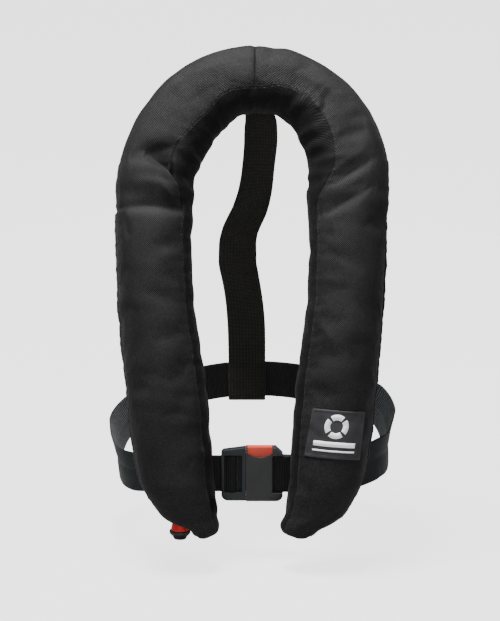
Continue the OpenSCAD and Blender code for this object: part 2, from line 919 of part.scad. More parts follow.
module whistle_lanyard() {
  cord_z = -48.5;
  color("#e6e6e2")
    at_oral()
      difference() {
        union() {
          translate([0, 0, cord_z - 1.5]) cylinder(h = 3, r = oral_r + 2);
          translate([-26, 0, cord_z]) rotate([0, 90, 0]) cylinder(h = 19, r = 1.1);
          translate([-26, 0, cord_z - 1.1]) cylinder(h = 2.2, r = 4);
        }
        translate([0, 0, cord_z - 5]) cylinder(h = 10, r = oral_r + 0.3);
        translate([-26, 0, cord_z - 5]) cylinder(h = 10, r = 2);
      }
}

cover_front_left();
cover_front_right();
cover_back();
edge_piping();
closure_hook_tape();
closure_loop_tape();
label_patch();
label_mark();
bladder();
reflective_patches();
belt_loops();
back_strap();
waist_belt();
belt_adjuster_end();
tail_keeper();
buckle_housing();
buckle_tongue();
release_button();
button_spring();
inflator_body();
co2_cylinder();
cylinder_seal();
cylinder_gasket();
inflator_lever();
lever_pin();
firing_pin();
firing_spring();
auto_cartridge();
cartridge_cap();
manifold_stem();
manifold_gasket();
manifold_nut();
status_indicator();
pull_cord();
pull_handle();
handle_end();
oral_tube();
oral_valve_body();
valve_poppet();
valve_spring();
oral_cap();
whistle();
whistle_lanyard();
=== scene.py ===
import math
import random

import bmesh
import bpy
import numpy as np
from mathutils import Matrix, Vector


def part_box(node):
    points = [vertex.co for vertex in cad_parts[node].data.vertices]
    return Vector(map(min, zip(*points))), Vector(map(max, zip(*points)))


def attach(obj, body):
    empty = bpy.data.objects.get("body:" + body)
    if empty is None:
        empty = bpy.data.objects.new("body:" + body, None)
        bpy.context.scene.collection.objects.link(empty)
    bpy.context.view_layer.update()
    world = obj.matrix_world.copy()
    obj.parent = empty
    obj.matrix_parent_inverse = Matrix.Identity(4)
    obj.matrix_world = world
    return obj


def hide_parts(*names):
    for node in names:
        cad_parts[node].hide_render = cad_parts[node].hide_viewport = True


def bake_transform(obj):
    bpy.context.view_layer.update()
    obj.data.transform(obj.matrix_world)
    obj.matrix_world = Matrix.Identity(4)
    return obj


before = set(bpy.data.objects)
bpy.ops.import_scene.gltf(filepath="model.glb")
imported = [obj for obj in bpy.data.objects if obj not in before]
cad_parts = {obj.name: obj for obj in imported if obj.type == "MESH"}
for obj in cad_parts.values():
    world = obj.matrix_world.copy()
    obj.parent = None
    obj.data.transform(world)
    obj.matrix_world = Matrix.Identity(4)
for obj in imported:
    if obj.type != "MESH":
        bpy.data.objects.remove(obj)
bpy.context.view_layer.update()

MM = 0.001

# ---------------- driving sizes, in millimetres
# The horseshoe lies on a leaning, bowed sheet: x is the side, v the height up the slope, w the depth
# in front of it. Stations run in degrees round the arch, then in millimetres down each leg.
FRONT_H = 523.0
SPRING_V = 371.0
HALF_W = 145.0
NECK_W = 60.5
NECK_RISE = 85.0
LOBE_FRONT = 31.0
LOBE_BACK = 28.0
TIP_V = 4.0
LEAN = math.radians(15)
BELLY = 0.12
SWEEP_POWER = 2.6
SWEEP = 0.57 / (SWEEP_POWER * FRONT_H ** (SWEEP_POWER - 1))
OUTER_SEAM = -8.0
TOP_SEAM_Q = 0.0
# The belt's loop seen from above, its rise towards the back, and its webbing
LOOP_W = 146.6
LOOP_D = 98.5
LOOP_RISE = 49.0
RISE_POWER = 2.4
BELT_Z = -24.5
WEB_W = 40.0
WEB_T = 1.8
TIP_Y = -LOOP_D - 46.2
TIP_Z = BELT_Z - 60.0

# Half width against height up the slope: outer edge and inner edge of a leg
LEG_OUT = [(4, 58.5), (6, 62.5), (10.6, 68), (18, 83), (26.5, 95), (48, 109.8), (64, 118.2), (105, 126),
           (148, 130.6), (254, 140.3), (371, 145)]
LEG_IN = [(4, 42.5), (6, 36), (9, 30.5), (15, 28), (28, 33.5), (64, 40.6), (106, 43.6), (148, 47),
          (191, 52.5), (254, 61.5), (318, 64), (371, 60.5)]
# Sideways sway of the real, hand-sewn horseshoe against station
SWAY = [(-470, -1.6), (-420, -1.6), (-380, -1.0), (-110, -1.0), (-85, 1.4), (-60, 2.6), (0, 2.6),
        (50, 3.0), (75, 1.2), (95, -1.4), (140, -2.0), (390, -2.0), (430, 0.4), (470, 0.8)]
# How much farther out the neck opening reaches than a plain arch, against station
NECK_REACH = [(-457, 1.5), (-451, 4.5), (-446, 5.5), (-437, 3.5), (-429, 0.5), (-412, -1), (-190, -1),
              (-102, 0), (-92, 2), (-86, 3.5), (-80, 2.5), (-72, 0), (-58, -2.5), (-35, -3), (-16, 0),
              (6, 0), (18, 3.5), (35, 3), (52, -0.5), (72, -1), (90, -2.2), (120, -2.4), (200, -2.0),
              (300, -0.8), (400, 0), (470, 0)]
# The same for the outer edge, which draws in over the handle at the right lobe's tip
EDGE_REACH = [(-457, -2), (-449, -5), (-445, -6), (-441, -2.5), (-433, 0), (470, 0)]
# How far the cloth sits inside its blown-up shape before the simulation fills it
SLACK_IN = 0.2
# Section angle of the inner seam against station
NECK_SEAM = [(-470, 150), (-112, 148), (-100, 138), (-90, 130), (-77, 107), (-66, 109), (-51, 120),
             (-38, 126), (-27, 119), (0, 126), (25, 111), (40, 102), (52, 101), (64, 103), (77, 107),
             (90, 127), (100, 139), (112, 148), (470, 150)]


def smooth_lookup(x, table):
    """Monotone cubic through the table's points."""
    xs, ys = np.array(table, float).T
    h = np.diff(xs)
    d = np.diff(ys) / h
    m = np.zeros_like(ys)
    m[0], m[-1] = d[0], d[-1]
    same = d[1:] * d[:-1] > 0
    m[1:-1][same] = 2 * d[1:][same] * d[:-1][same] / (d[1:][same] + d[:-1][same])
    x = np.clip(x, xs[0], xs[-1])
    i = np.clip(np.searchsorted(xs, x) - 1, 0, len(h) - 1)
    t = (x - xs[i]) / h[i]
    return ((2 * t**3 - 3 * t**2 + 1) * ys[i] + (t**3 - 2 * t**2 + t) * h[i] * m[i]
            + (3 * t**2 - 2 * t**3) * ys[i + 1] + (t**3 - t**2) * h[i] * m[i + 1])


def leg_height(q):
    """Height up the slope at a station on a leg."""
    return SPRING_V - (np.abs(q) - 90)


def bow(v):
    """How far back the sheet bows at a height; a little forward at the belly."""
    return SWEEP * v**SWEEP_POWER - BELLY * v


def tilt(v):
    """Angle of the sheet from upright at a height."""
    return LEAN + np.arctan(SWEEP_POWER * SWEEP * v ** (SWEEP_POWER - 1) - BELLY)


def sheet(x, v, w):
    """Side x, height v up the slope and depth w in front of it, as a point in millimetres."""
    v = np.maximum(v, 0.0)
    y = TIP_Y + v * math.sin(LEAN) + bow(v) * math.cos(LEAN) - w * np.cos(tilt(v))
    z = TIP_Z + v * math.cos(LEAN) - bow(v) * math.sin(LEAN) + w * np.sin(tilt(v))
    return np.stack(np.broadcast_arrays(x, y, z), axis=-1)


def rim(q):
    """Inner and outer edge of the horseshoe at station q, as side and height."""
    arch = np.abs(q) <= 90
    rad, side, v = np.radians(q), np.sign(q), leg_height(q)
    sway = smooth_lookup(q, SWAY)
    reach = smooth_lookup(q, NECK_REACH)
    neck = smooth_lookup(v, LEG_IN) + reach
    edge = smooth_lookup(v, LEG_OUT) + smooth_lookup(q, EDGE_REACH)
    inner_x = np.where(arch, (NECK_W + reach) * np.sin(rad), side * neck)
    inner_v = np.where(arch, SPRING_V + (NECK_RISE + reach) * np.cos(rad), v)
    outer_x = np.where(arch, HALF_W * np.sin(rad), side * edge)
    outer_v = np.where(arch, SPRING_V + (FRONT_H - SPRING_V) * np.cos(rad), v)
    return np.stack([inner_x + sway, inner_v], -1), np.stack([outer_x + sway, outer_v], -1)


def fullness(q):
    """Share of the full depth that the lobe has, less towards the tips."""
    v = leg_height(q)
    return np.where(v > 60, 1.0, np.minimum(1.0, 0.35 + 0.65 * np.sqrt(np.maximum(v, 0) / 60)))


def section(h, k, a):
    """Lobe section at angle a in degrees: across and depth."""
    c, s = np.cos(np.radians(a)), np.sin(np.radians(a))
    lead = 1 - 0.22 * np.maximum(0, s)
    u = np.where(c >= 0, h * np.abs(c) ** 0.8, -h * np.abs(c) ** 0.75 * lead)
    w = np.where(s >= 0, LOBE_FRONT * k * np.abs(s) ** 0.92, -LOBE_BACK * k * np.abs(s) ** 0.6)
    return u, w


def flat_point(q, a):
    """Side and height, depth, direction across, and outward direction of a skin point."""
    inner, outer = rim(q)
    span = outer - inner
    h = np.linalg.norm(span, axis=-1) / 2
    e = span / (2 * h[..., None])
    k = fullness(q)
    u, w = section(h, k, a)
    u1, w1 = section(h, k, a + 2)
    u0, w0 = section(h, k, a - 2)
    n = unit(np.stack([w1 - w0, u0 - u1], -1))
    return (inner + outer) / 2 + e * u[..., None], w, e, n


def skin(q, a, off):
    """Point of the smooth cover at station q and section angle a, standing out by off."""
    mid, w, e, n = flat_point(q, a)
    p = mid + e * (n[..., 0] * off)[..., None]
    return sheet(p[..., 0], p[..., 1], w + n[..., 1] * off)


# ---------------- mesh helpers
def unit(v):
    v = np.asarray(v, float)
    return v / np.maximum(np.linalg.norm(v, axis=-1, keepdims=True), 1e-9)


def running(points):
    """Length along a path, at each of its points."""
    return np.concatenate([[0], np.cumsum(np.linalg.norm(np.diff(points, axis=0), axis=1))])


def lengths_round(grid):
    """Length round each section of a grid, from its first column."""
    step = np.linalg.norm(np.diff(grid, axis=1), axis=2)
    return np.concatenate([np.zeros((len(grid), 1)), np.cumsum(step, axis=1)], axis=1)


def link(name, data):
    """New object in the scene, holding a mesh, light or camera."""
    obj = bpy.data.objects.new(name, data)
    bpy.context.scene.collection.objects.link(obj)
    return obj


def make_object(name, verts_mm, faces, uvs=None):
    mesh = bpy.data.meshes.new(name)
    mesh.from_pydata([tuple(v) for v in np.asarray(verts_mm).reshape(-1, 3) * MM], [], faces)
    mesh.update()
    if uvs is not None:
        layer = mesh.uv_layers.new(name="cloth")
        flat = np.asarray(uvs, np.float32).reshape(-1, 2)[[v for f in faces for v in f]]
        layer.data.foreach_set("uv", flat.ravel())
    mesh.shade_smooth()
    return link(name, mesh)


def apply_modifiers(obj):
    depsgraph = bpy.context.evaluated_depsgraph_get()
    mesh = bpy.data.meshes.new_from_object(obj.evaluated_get(depsgraph))
    mesh.name = obj.name
    obj.modifiers.clear()
    obj.data = mesh
    return obj


def edit(obj, change):
    """Runs change on the object's mesh as a bmesh."""
    bm = bmesh.new()
    bm.from_mesh(obj.data)
    change(bm)
    bm.to_mesh(obj.data)
    bm.free()
    return obj


def fix_normals(obj):
    return edit(obj, lambda bm: bmesh.ops.recalc_face_normals(bm, faces=bm.faces))


def soften(obj, width, segments, angle):
    """Rounds every edge sharper than an angle in degrees."""
    bevel = obj.modifiers.new("soft_edges", "BEVEL")
    bevel.width = width * MM
    bevel.segments = segments
    bevel.limit_method = "ANGLE"
    bevel.angle_limit = math.radians(angle)
    return apply_modifiers(obj)


def tube_faces(n, m, closed=False):
    """Quads of a tube of n rings of m points; an open tube's ends are capped with strips."""
    faces = []
    for i in range(n if closed else n - 1):
        i1 = (i + 1) % n
        for j in range(m):
            j1 = (j + 1) % m
            faces.append((i * m + j, i * m + j1, i1 * m + j1, i1 * m + j))
    last = (n - 1) * m
    for j in range(0 if closed else m // 2 - 1):
        faces.append((j + 1, j, m - 1 - j, m - 2 - j))
        faces.append((last + j, last + j + 1, last + m - 2 - j, last + m - 1 - j))
    return faces


def sweep(name, rings, uvs=None, closed=False):
    """Tube through rings of points."""
    return fix_normals(make_object(name, rings, tube_faces(*np.shape(rings)[:2], closed), uvs))


def sweep_all(name, tubes):
    """Several capped tubes as one piece."""
    verts, faces = [], []
    for rings in tubes:
        faces += [tuple(i + len(verts) for i in face) for face in tube_faces(*rings.shape[:2])]
        verts += list(rings.reshape(-1, 3))
    return fix_normals(make_object(name, verts, faces))


def circle(sides):
    return np.linspace(0, 2 * math.pi, sides, endpoint=False)


# ---------------- cover
TIP_STEPS = 16
LEG_STEP = 3.2
FRONT_N = 48
WALL_N = 32


def leg_stations():
    """Distance down a leg past the springing, crowding towards the tip."""
    down = list(np.arange(0, SPRING_V - 40, LEG_STEP))
    rest = SPRING_V - TIP_V - down[-1]
    t = np.linspace(0, 1, TIP_STEPS + 1)[1:]
    down += list(down[-1] + rest * (1 - (1 - t) ** 1.5))
    return 90 + np.array(down)


LEG_Q = leg_stations()
Q = np.concatenate([-LEG_Q[::-1], np.arange(-88.5, 89, 1.5), LEG_Q])
SEAM_A = smooth_lookup(Q, NECK_SEAM)


def section_angles():
    """Angles of every station: the front panel's, then the wall's and back's."""
    front = OUTER_SEAM + (SEAM_A - OUTER_SEAM)[:, None] * np.linspace(0, 1, FRONT_N + 1)[None]
    back_end = 360 + OUTER_SEAM
    t = np.linspace(0, 1, WALL_N + 1)[1:-1]
    back = SEAM_A[:, None] + (back_end - SEAM_A)[:, None] * t[None] ** 1.1
    return np.concatenate([front, back], axis=1)


# Folds on the lobes: side and height of both ends, depth (in is negative), how far each
# spreads above its line and below it
FOLDS = [
    (-108, 398, -80, 381, -10.5, 9, 2.6),
    (-106, 406, -78, 410, -3, 4, 8),
    (-118, 374, -98, 372, 2.6, 5, 8),
    (-97, 373, -79, 352, 3.6, 5, 4),
    (-134, 348, -74, 346, -7.5, 16, 4),
    (-141, 348, -131, 320, -3, 3, 4),
    (84, 384, 117, 405, 1.4, 5, 5),
    (86, 371, 121, 391, -4.6, 9, 3.2),
    (77, 341, 115, 360, -5.2, 9, 3.4),
    (110, 364, 128, 352, 1.2, 6, 10),
    (12, 494, 38, 489, 1.6, 12, 5),
    (38, 489, 67, 474, 2, 12, 5),
    (67, 474, 86, 463, 2.2, 12, 5),
    (86, 463, 107, 445, 2.2, 12, 5),
    (107, 445, 122, 426, 2, 10, 5),
    (122, 426, 131, 408, 1.6, 9, 5),
    (-89, 469, -61, 486, 2, 12, 5),
    (-61, 486, -40, 491, 1.8, 12, 5),
    (64, 440, 72, 455, 1.8, 2.5, 2.5),
    (74, 442, 78, 462, -2.2, 3, 6),
    (82, 336, 90, 300, 1.2, 5, 5),
    (-66, 455, -44, 470, -1.4, 5, 8),
    (-100, 296, -70, 306, 1.4, 4, 9),
    (-112, 262, -84, 246, -1.4, 12, 5),
    (-74, 200, -66, 168, -1.4, 5, 5),
    (-62, 112, -52, 92, 1.6, 3, 4),
    (62, 62, 58, 30, -2, 5, 6),
    (100, 262, 128, 232, -1.3, 12, 6),
    (84, 300, 112, 286, -1.3, 10, 4),
    (70, 228, 90, 206, 1.2, 5, 8),
]


def wander(x, waves, seed):
    """Smooth repeatable wobble of about unit size: a few sines of the given wavelengths."""
    rng = random.Random(seed)
    total = np.zeros_like(np.asarray(x, float))
    for wave in waves:
        total += np.sin(2 * math.pi * x / wave + rng.uniform(0, 6.28)) * rng.uniform(0.6, 1.0)
    return total / math.sqrt(len(waves))


def ruffles(along, around, seam_round, loop_round):
    """Puckers along both seams, loose waves over the cloth, in millimetres along the normal."""
    s = along[:, None]
    to_seam = np.abs(around - seam_round[:, None])
    to_edge = np.minimum(around, loop_round[:, None] - around)
    pucker = wander(s, (11, 17, 29), 1) * np.exp(-to_seam / 7) * 0.45
    pucker += wander(s, (9, 14, 23), 2) * np.exp(-to_edge / 6) * 0.4
    wall = np.clip((around - seam_round[:, None]) / 18, 0, 1)
    wall *= np.clip(1 - (around - seam_round[:, None] - 34) / 24, 0, 1)
    on_arch = np.clip((112 - np.abs(Q)) / 30, 0, 1)[:, None]
    gather = wander(s + 0.35 * around, (27, 41, 63), 3) * wall * (0.5 + 0.9 * on_arch)
    loose = wander(s + 0.8 * around, (76, 118), 4) * wander(s - 1.1 * around, (64, 141), 5) * 1.2
    fine = wander(s * 0.9 + 0.6 * around, (31, 44), 6) * wander(s - 0.5 * around, (53, 37), 8) * 0.25
    return pucker + gather + loose + fine


def fold_depth(flat):
    """Total displacement of the named folds at each side and height."""
    total = np.zeros(flat.shape[:2])
    for x0, v0, x1, v1, depth, above, below in FOLDS:
        a = np.array([x0, v0], float)
        ab = np.array([x1, v1], float) - a
        up = np.array([-ab[1], ab[0]]) * (1 if ab[0] > 0 else -1)
        t = np.clip(((flat - a) @ ab) / (ab @ ab), 0, 1)
        near = a + t[..., None] * ab
        d = np.linalg.norm(flat - near, axis=-1)
        width = np.where((flat - near) @ up > 0, above, below)
        total += depth * np.exp(-((d / width) ** 1.4)) * (0.55 + 0.45 * np.sin(math.pi * t))
    return total


def grid_normals(points):
    du = np.gradient(points, axis=0)
    dv = np.roll(points, -1, axis=1) - np.roll(points, 1, axis=1)
    return unit(np.cross(dv, du))


SIM_FRAMES = 14
SIM_REACH = 6.0


def simulate_cover(points, pins):
    """Blow the cover up against its sewn seams and return the moved points."""
    obj = fix_normals(make_object("cover_sim", points, tube_faces(*points.shape[:2])))
    group = obj.vertex_groups.new(name="pins")
    weights = np.round(pins.ravel(), 2)
    for weight in sorted(set(weights[weights > 0])):
        group.add([int(i) for i in np.nonzero(weights == weight)[0]], float(weight), "REPLACE")
    cloth = obj.modifiers.new("cloth", "CLOTH")
    settings = {"quality": 6, "mass": 0.2, "tension_stiffness": 18, "compression_stiffness": 18,
                "shear_stiffness": 6, "bending_stiffness": 0.3, "vertex_group_mass": "pins",
                "pin_stiffness": 1, "use_pressure": True, "uniform_pressure_force": 2.5,
                "shrink_min": -0.003}
    for key, value in settings.items():
        setattr(cloth.settings, key, value)
    cloth.settings.effector_weights.gravity = 0
    cloth.point_cache.frame_start = 1
    cloth.point_cache.frame_end = SIM_FRAMES
    scene = bpy.context.scene
    for f in range(1, SIM_FRAMES + 1):
        scene.frame_set(f)
    blown = obj.evaluated_get(bpy.context.evaluated_depsgraph_get())
    out = np.empty(points.size)
    blown.to_mesh().vertices.foreach_get("co", out)
    blown.to_mesh_clear()
    obj.modifiers.clear()
    bpy.data.objects.remove(obj)
    scene.frame_set(1)
    move = out.reshape(points.shape) / MM - points
    size = np.linalg.norm(move, axis=-1, keepdims=True)
    return points + move * np.minimum(1, SIM_REACH / np.maximum(size, 1e-6))


# Share of the ruffles that the cloth has before it is blown up
EARLY = 0.6
# How firmly the inner wall is held while the rest fills
WALL_HOLD = 0.12


def build_cover_grid():
    """Finished points of the cover: the smooth skin, ruffled, blown up, folded and grooved."""
    angles = section_angles()
    q = np.broadcast_to(Q[:, None], angles.shape)
    points = skin(q, angles, -SLACK_IN)
    around = lengths_round(points)
    loop = around[:, -1] + np.linalg.norm(points[:, -1] - points[:, 0], axis=1)
    front = (angles < SEAM_A[:, None] + 1).astype(float)
    end_calm = np.clip((LEG_Q[-1] - np.abs(Q)) / 30, 0, 1)[:, None]
    bumps = ruffles(running(points[:, FRONT_N // 2]), around, around[:, FRONT_N], loop)
    bumps *= 0.25 + 0.75 * end_calm
    start = points + grid_normals(points) * (bumps * EARLY)[..., None]
    pins = np.zeros(angles.shape)
    pins[:, [0, FRONT_N]] = 1
    pins[:3] = 1
    pins[-3:] = 1
    pins[np.argmin(np.abs(Q - TOP_SEAM_Q)), :FRONT_N] = 1
    pins[:, FRONT_N + 12:FRONT_N + 24] = WALL_HOLD
    start = simulate_cover(start, pins)
    groove = np.exp(-((Q - TOP_SEAM_Q) / 0.9) ** 2)[:, None] * -1.1
    late = bumps * (1 - EARLY) + (fold_depth(flat_point(q, angles)[0]) + groove) * front
    return start + grid_normals(start) * late[..., None]


def cloth_pattern(around):
    """Flat cutting pattern of both panels, as the cloth's UVs in metres."""
    inner, outer = rim(Q)
    mid = ((inner + outer) / 2)[:, None]
    e = unit(outer - inner)[:, None]
    centre = around[:, [FRONT_N // 2]]
    back_centre = (around[:, [FRONT_N]] + around[:, [-1]]) / 2
    front = mid + e * (centre - around)[..., None]
    back = mid + e * (around - back_centre)[..., None]
    return front * MM, back * MM


def wrapped(grid):
    """The grid with its first column once more at its end."""
    return np.concatenate([grid, grid[:, :1]], axis=1)


OPEN_GRID = build_cover_grid()
GRID = wrapped(OPEN_GRID)
NORMALS = wrapped(grid_normals(OPEN_GRID))
ROWS, COLUMNS = GRID.shape[:2]
AROUND = lengths_round(GRID)
FRONT_UV, BACK_UV = cloth_pattern(AROUND)
SEAM_ROW = int(np.argmin(np.abs(Q - TOP_SEAM_Q)))


def surface(row, column, off):
    """Points on the finished cover at fractional rows and columns, standing out by off."""
    row, column, off = np.broadcast_arrays(np.asarray(row, float), np.asarray(column, float), off)
    r = np.clip(row.astype(int), 0, ROWS - 2)
    c = np.clip(column.astype(int), 0, COLUMNS - 2)
    fr, fc = (row - r)[..., None], (column - c)[..., None]
    points, normals = ((1 - fr) * ((1 - fc) * table[r, c] + fc * table[r, c + 1])
                       + fr * ((1 - fc) * table[r + 1, c] + fc * table[r + 1, c + 1])
                       for table in (GRID, NORMALS))
    return points + unit(normals) * off[..., None]


def row_at(q):
    return np.interp(q, Q, np.arange(ROWS))


def columns_at(rows, distance, from_column=0):
    """For each row, the column that lies a distance in mm from another, round the section."""
    return np.array([np.interp(ring[from_column] + distance, ring, np.arange(COLUMNS))
                     for ring in AROUND[rows]])


def at_side(x, v, off):
    """Points on the front of a leg at side x and height v up the slope."""
    x, v = np.broadcast_arrays(np.asarray(x, float), np.asarray(v, float))
    row = row_at(np.sign(x) * (90 + SPRING_V - v))
    r = np.clip(row.astype(int), 0, ROWS - 2)
    column = np.empty(x.shape)
    for k in np.ndindex(x.shape):
        f = row[k] - r[k]
        ring = (1 - f) * GRID[r[k], :FRONT_N + 1, 0] + f * GRID[r[k] + 1, :FRONT_N + 1, 0]
        column[k] = np.interp(-abs(x[k]), -np.abs(ring), np.arange(FRONT_N + 1))
    return surface(row, column, off)


CLOTH_T = 1.2


def cloth_panel(name, rows, columns, uv_table, off=0.0):
    """One panel of the cover between rows and columns of the grid, with real thickness."""
    pick = np.ix_(rows, columns)
    n, m = len(rows), len(columns)
    points = GRID[pick] + NORMALS[pick] * np.broadcast_to(off, (n, m))[..., None]
    faces = [(i * m + j, i * m + j + 1, (i + 1) * m + j + 1, (i + 1) * m + j)
             for i in range(n - 1) for j in range(m - 1)]
    obj = make_object(name, points, faces, uv_table[pick])
    face = obj.data.polygons[len(faces) // 2]
    if np.dot(np.array(face.normal), NORMALS[pick].reshape(-1, 3)[face.vertices[0]]) < 0:
        obj.data.flip_normals()
    smooth = obj.modifiers.new("smooth", "SUBSURF")
    smooth.levels = smooth.render_levels = 1
    wall = obj.modifiers.new("wall", "SOLIDIFY")
    wall.thickness = CLOTH_T * MM
    wall.offset = -1
    return apply_modifiers(obj)


def place(obj, material, body="jacket", node=None):
    """Gives a finished piece its material and its body, and hides the CAD node it stands for."""
    obj.data.materials.clear()
    obj.data.materials.append(material)
    if body:
        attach(obj, body)
    if node:
        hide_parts(node)


# ---------------- materials
def shade(colour, share, lift=0.0):
    return tuple(min(1, c * share + lift) for c in colour)


class Paint:
    """One Principled material, built from procedural nodes."""

    def __init__(self, name, **inputs):
        self.material = bpy.data.materials.new(name)
        self.material.use_nodes = True
        self.tree = self.material.node_tree
        self.shader = self.tree.nodes["Principled BSDF"]
        self.set(**inputs)

    def set(self, **inputs):
        for key, value in inputs.items():
            self.feed(self.shader.inputs[key.replace("_", " ")], value)

    def feed(self, socket, value):
        if isinstance(value, bpy.types.NodeSocket):
            self.tree.links.new(value, socket)
        else:
            socket.default_value = value

    def node(self, kind, sockets=(), **settings):
        made = self.tree.nodes.new("ShaderNode" + kind)
        for key, value in settings.items():
            setattr(made, key, value)
        for key, value in dict(sockets).items():
            self.feed(made.inputs[key], value)
        return made

    def calc(self, operation, a, b=0.0):
        return self.node("Math", {0: a, 1: b}, operation=operation).outputs[0]

    def add(self, a, b):
        return self.calc("ADD", a, b)

    def times(self, a, b):
        return self.calc("MULTIPLY", a, b)

    def where(self):
        return self.node("TexCoord").outputs["Object"]

    def xyz(self):
        return self.node("SeparateXYZ", {0: self.where()}).outputs

    def uv(self):
        return self.node("SeparateXYZ", {0: self.node("UVMap", uv_map="cloth").outputs[0]}).outputs[:2]

    def noise(self, scale, detail=3.0, rough=0.5):
        sockets = {"Scale": scale, "Detail": detail, "Roughness": rough, "Vector": self.where()}
        return self.node("TexNoise", sockets).outputs[0]

    def cells(self, scale, **settings):
        return self.node("TexVoronoi", {"Vector": self.where(), "Scale": scale}, **settings).outputs[0]

    def blend(self, share, first, second):
        made = self.node("Mix", {0: share}, data_type="RGBA")
        for socket, value in ((6, first), (7, second)):
            self.feed(made.inputs[socket], value + (1.0,) if isinstance(value, tuple) else value)
        return made.outputs[2]

    def mottle(self, cloud, first, second):
        """Colour that drifts from one to another with a noise."""
        return self.blend(self.spread(cloud, 0.3, 0.7), first, second)

    def spread(self, value, low, high, to_low=0.0, to_high=1.0):
        sockets = {"Value": value, "From Min": low, "From Max": high,
                   "To Min": to_low, "To Max": to_high}
        return self.node("MapRange", sockets).outputs[0]

    def wave(self, value, period, phase=0.0):
        """Sine of a length in metres, between -1 and 1."""
        return self.calc("SINE", self.add(self.times(value, 2 * math.pi / period), phase))

    def bump(self, height, distance, strength=1.0):
        """Adds the last input, the surface's relief, and returns the finished material."""
        made = self.node("Bump", {"Height": height, "Distance": distance, "Strength": strength})
        self.set(Normal=made.outputs[0])
        return self.material


def cloth_paint(name, depth):
    """Coarse coated nylon in a plain weave, faded a little where it is handled; depth scales all its colours,
    below 1 as painted shade.
    """
    p = Paint(name, Sheen_Weight=0.05, Sheen_Roughness=0.3, Specular_IOR_Level=0.2)
    u, v = p.uv()
    wobble = p.times(p.noise(120, 2), 0.0004)
    u, v = p.add(u, wobble), p.calc("SUBTRACT", v, wobble)
    pitch = 0.0021
    crossing = p.times(p.wave(u, pitch), p.wave(v, pitch))
    threads = p.times(p.add(p.wave(u, pitch / 4), p.wave(v, pitch / 4)), 0.06)
    slub = p.noise(900, 1)
    height = p.add(p.add(crossing, threads), p.times(slub, 0.5))
    raised = p.spread(crossing, -1, 1)
    worn = p.spread(p.noise(14, 6, 0.7), 0.35, 0.72)
    base = p.blend(worn, shade((0.0034, 0.0030, 0.0018), depth), shade((0.0076, 0.0070, 0.0055), depth))
    patchy = p.times(p.spread(slub, 0.3, 0.8, 0.2, 1.0), p.spread(worn, 0, 1, 0.75, 1.15))
    # Raised threads painted lighter and bluish: a painted highlight on the weave's crests, patchy with the
    # slubs and fading
    p.set(Base_Color=p.blend(p.times(raised, patchy), base, shade((0.060, 0.058, 0.062), depth)),
          Roughness=p.spread(raised, 0, 1, 0.72, 0.52))
    return p.bump(height, 0.00022, 0.8)


def webbing_paint(name, dark, light, rib=0.0017):
    """Polyester webbing with cross ribs and a finer twill between its edges."""
    p = Paint(name, Roughness=0.6, Sheen_Weight=0.25, Sheen_Roughness=0.4, Specular_IOR_Level=0.4)
    u, v = p.uv()
    ribs = p.wave(p.add(u, p.times(p.noise(180, 2), 0.0005)), rib)
    height = p.add(p.times(p.add(p.wave(v, 0.0024), 1.3), ribs), p.times(p.noise(1400, 1), 0.5))
    share = p.times(p.spread(ribs, -0.6, 1), p.spread(p.noise(60), 0.3, 0.7, 0.55, 1))
    p.set(Base_Color=p.blend(share, dark, light))
    return p.bump(height, 0.0002, 0.8)


# Added to the V of a strap's inner face, to tell its two faces apart
INSIDE_V = 1.0


def belt_paint():
    """Belt webbing: smooth blue-black outside, coarse pale cross ribs inside; the ribs are held dark within
    about 85 mm of the middle as painted shade where the belt runs behind the lobes.
    """
    p = Paint("belt_webbing", Roughness=0.6, Sheen_Weight=0.15, Sheen_Roughness=0.4,
              Specular_IOR_Level=0.35)
    u, v = p.uv()
    inside = p.calc("GREATER_THAN", v, INSIDE_V / 2)
    ribs = p.wave(p.add(u, p.times(p.noise(150, 2), 0.0004)), 0.0026)
    fine = p.times(p.wave(u, 0.0013), p.wave(v, 0.0018))
    # Distance from the middle: used to hold the inner ribs dark near it, painted shade between the lobes
    across = p.calc("ABSOLUTE", p.xyz()[0])
    ribs_shaded_mid = p.times(p.spread(ribs, 0.0, 0.9), p.spread(across, 0.085, 0.125, 0.07, 1))
    plain = p.blend(p.times(p.spread(fine, -1, 1), p.spread(p.noise(60), 0.3, 0.7, 0.5, 1)),
                    (0.0060, 0.0085, 0.0100), (0.0190, 0.0260, 0.0300))
    ribbed = p.blend(p.times(ribs_shaded_mid, p.spread(p.noise(300, 2), 0.25, 0.7, 0.3, 1)),
                     (0.0045, 0.0050, 0.0045), (0.120, 0.140, 0.150))
    p.set(Base_Color=p.blend(inside, plain, ribbed))
    return p.bump(p.add(p.times(fine, 0.4), p.times(inside, ribs)), 0.0003, 0.8)


def plastic_paint(name, colour, rough=0.42):
    """Moulded plastic with a fine grain, rubbed lighter along its edges."""
    p = Paint(name)
    grain = p.noise(1600, 2)
    body = p.mottle(p.noise(45, 4, 0.6), shade(colour, 0.8), colour)
    edge = p.spread(p.node("NewGeometry").outputs["Pointiness"], 0.52, 0.62, 0, 0.35)
    p.set(Base_Color=p.blend(edge, body, shade(colour, 1.9, 0.012)),
          Roughness=p.spread(grain, 0.3, 0.7, rough - 0.08, rough + 0.1))
    return p.bump(grain, 0.00003, 0.7)


def metal_paint(name, colour, rough=0.3, lines=0.0004):
    """Turned or drawn metal with faint machining lines."""
    p = Paint(name, Metallic=1.0)
    drawn = p.wave(p.xyz()[2], lines)
    cloud = p.noise(80)
    p.set(Base_Color=p.blend(p.spread(cloud, 0.35, 0.65), shade(colour, 0.8), colour),
          Roughness=p.spread(cloud, 0.3, 0.7, rough * 0.8, rough * 1.3))
    return p.bump(p.add(p.times(drawn, 0.3), p.noise(700, 2)), 0.00002, 0.5)


def rubber_paint(name, colour, rough=0.7):
    p = Paint(name, Roughness=rough, Specular_IOR_Level=0.35)
    p.set(Base_Color=p.mottle(p.noise(60), shade(colour, 0.75), colour))
    return p.bump(p.noise(900), 0.00004, 0.6)


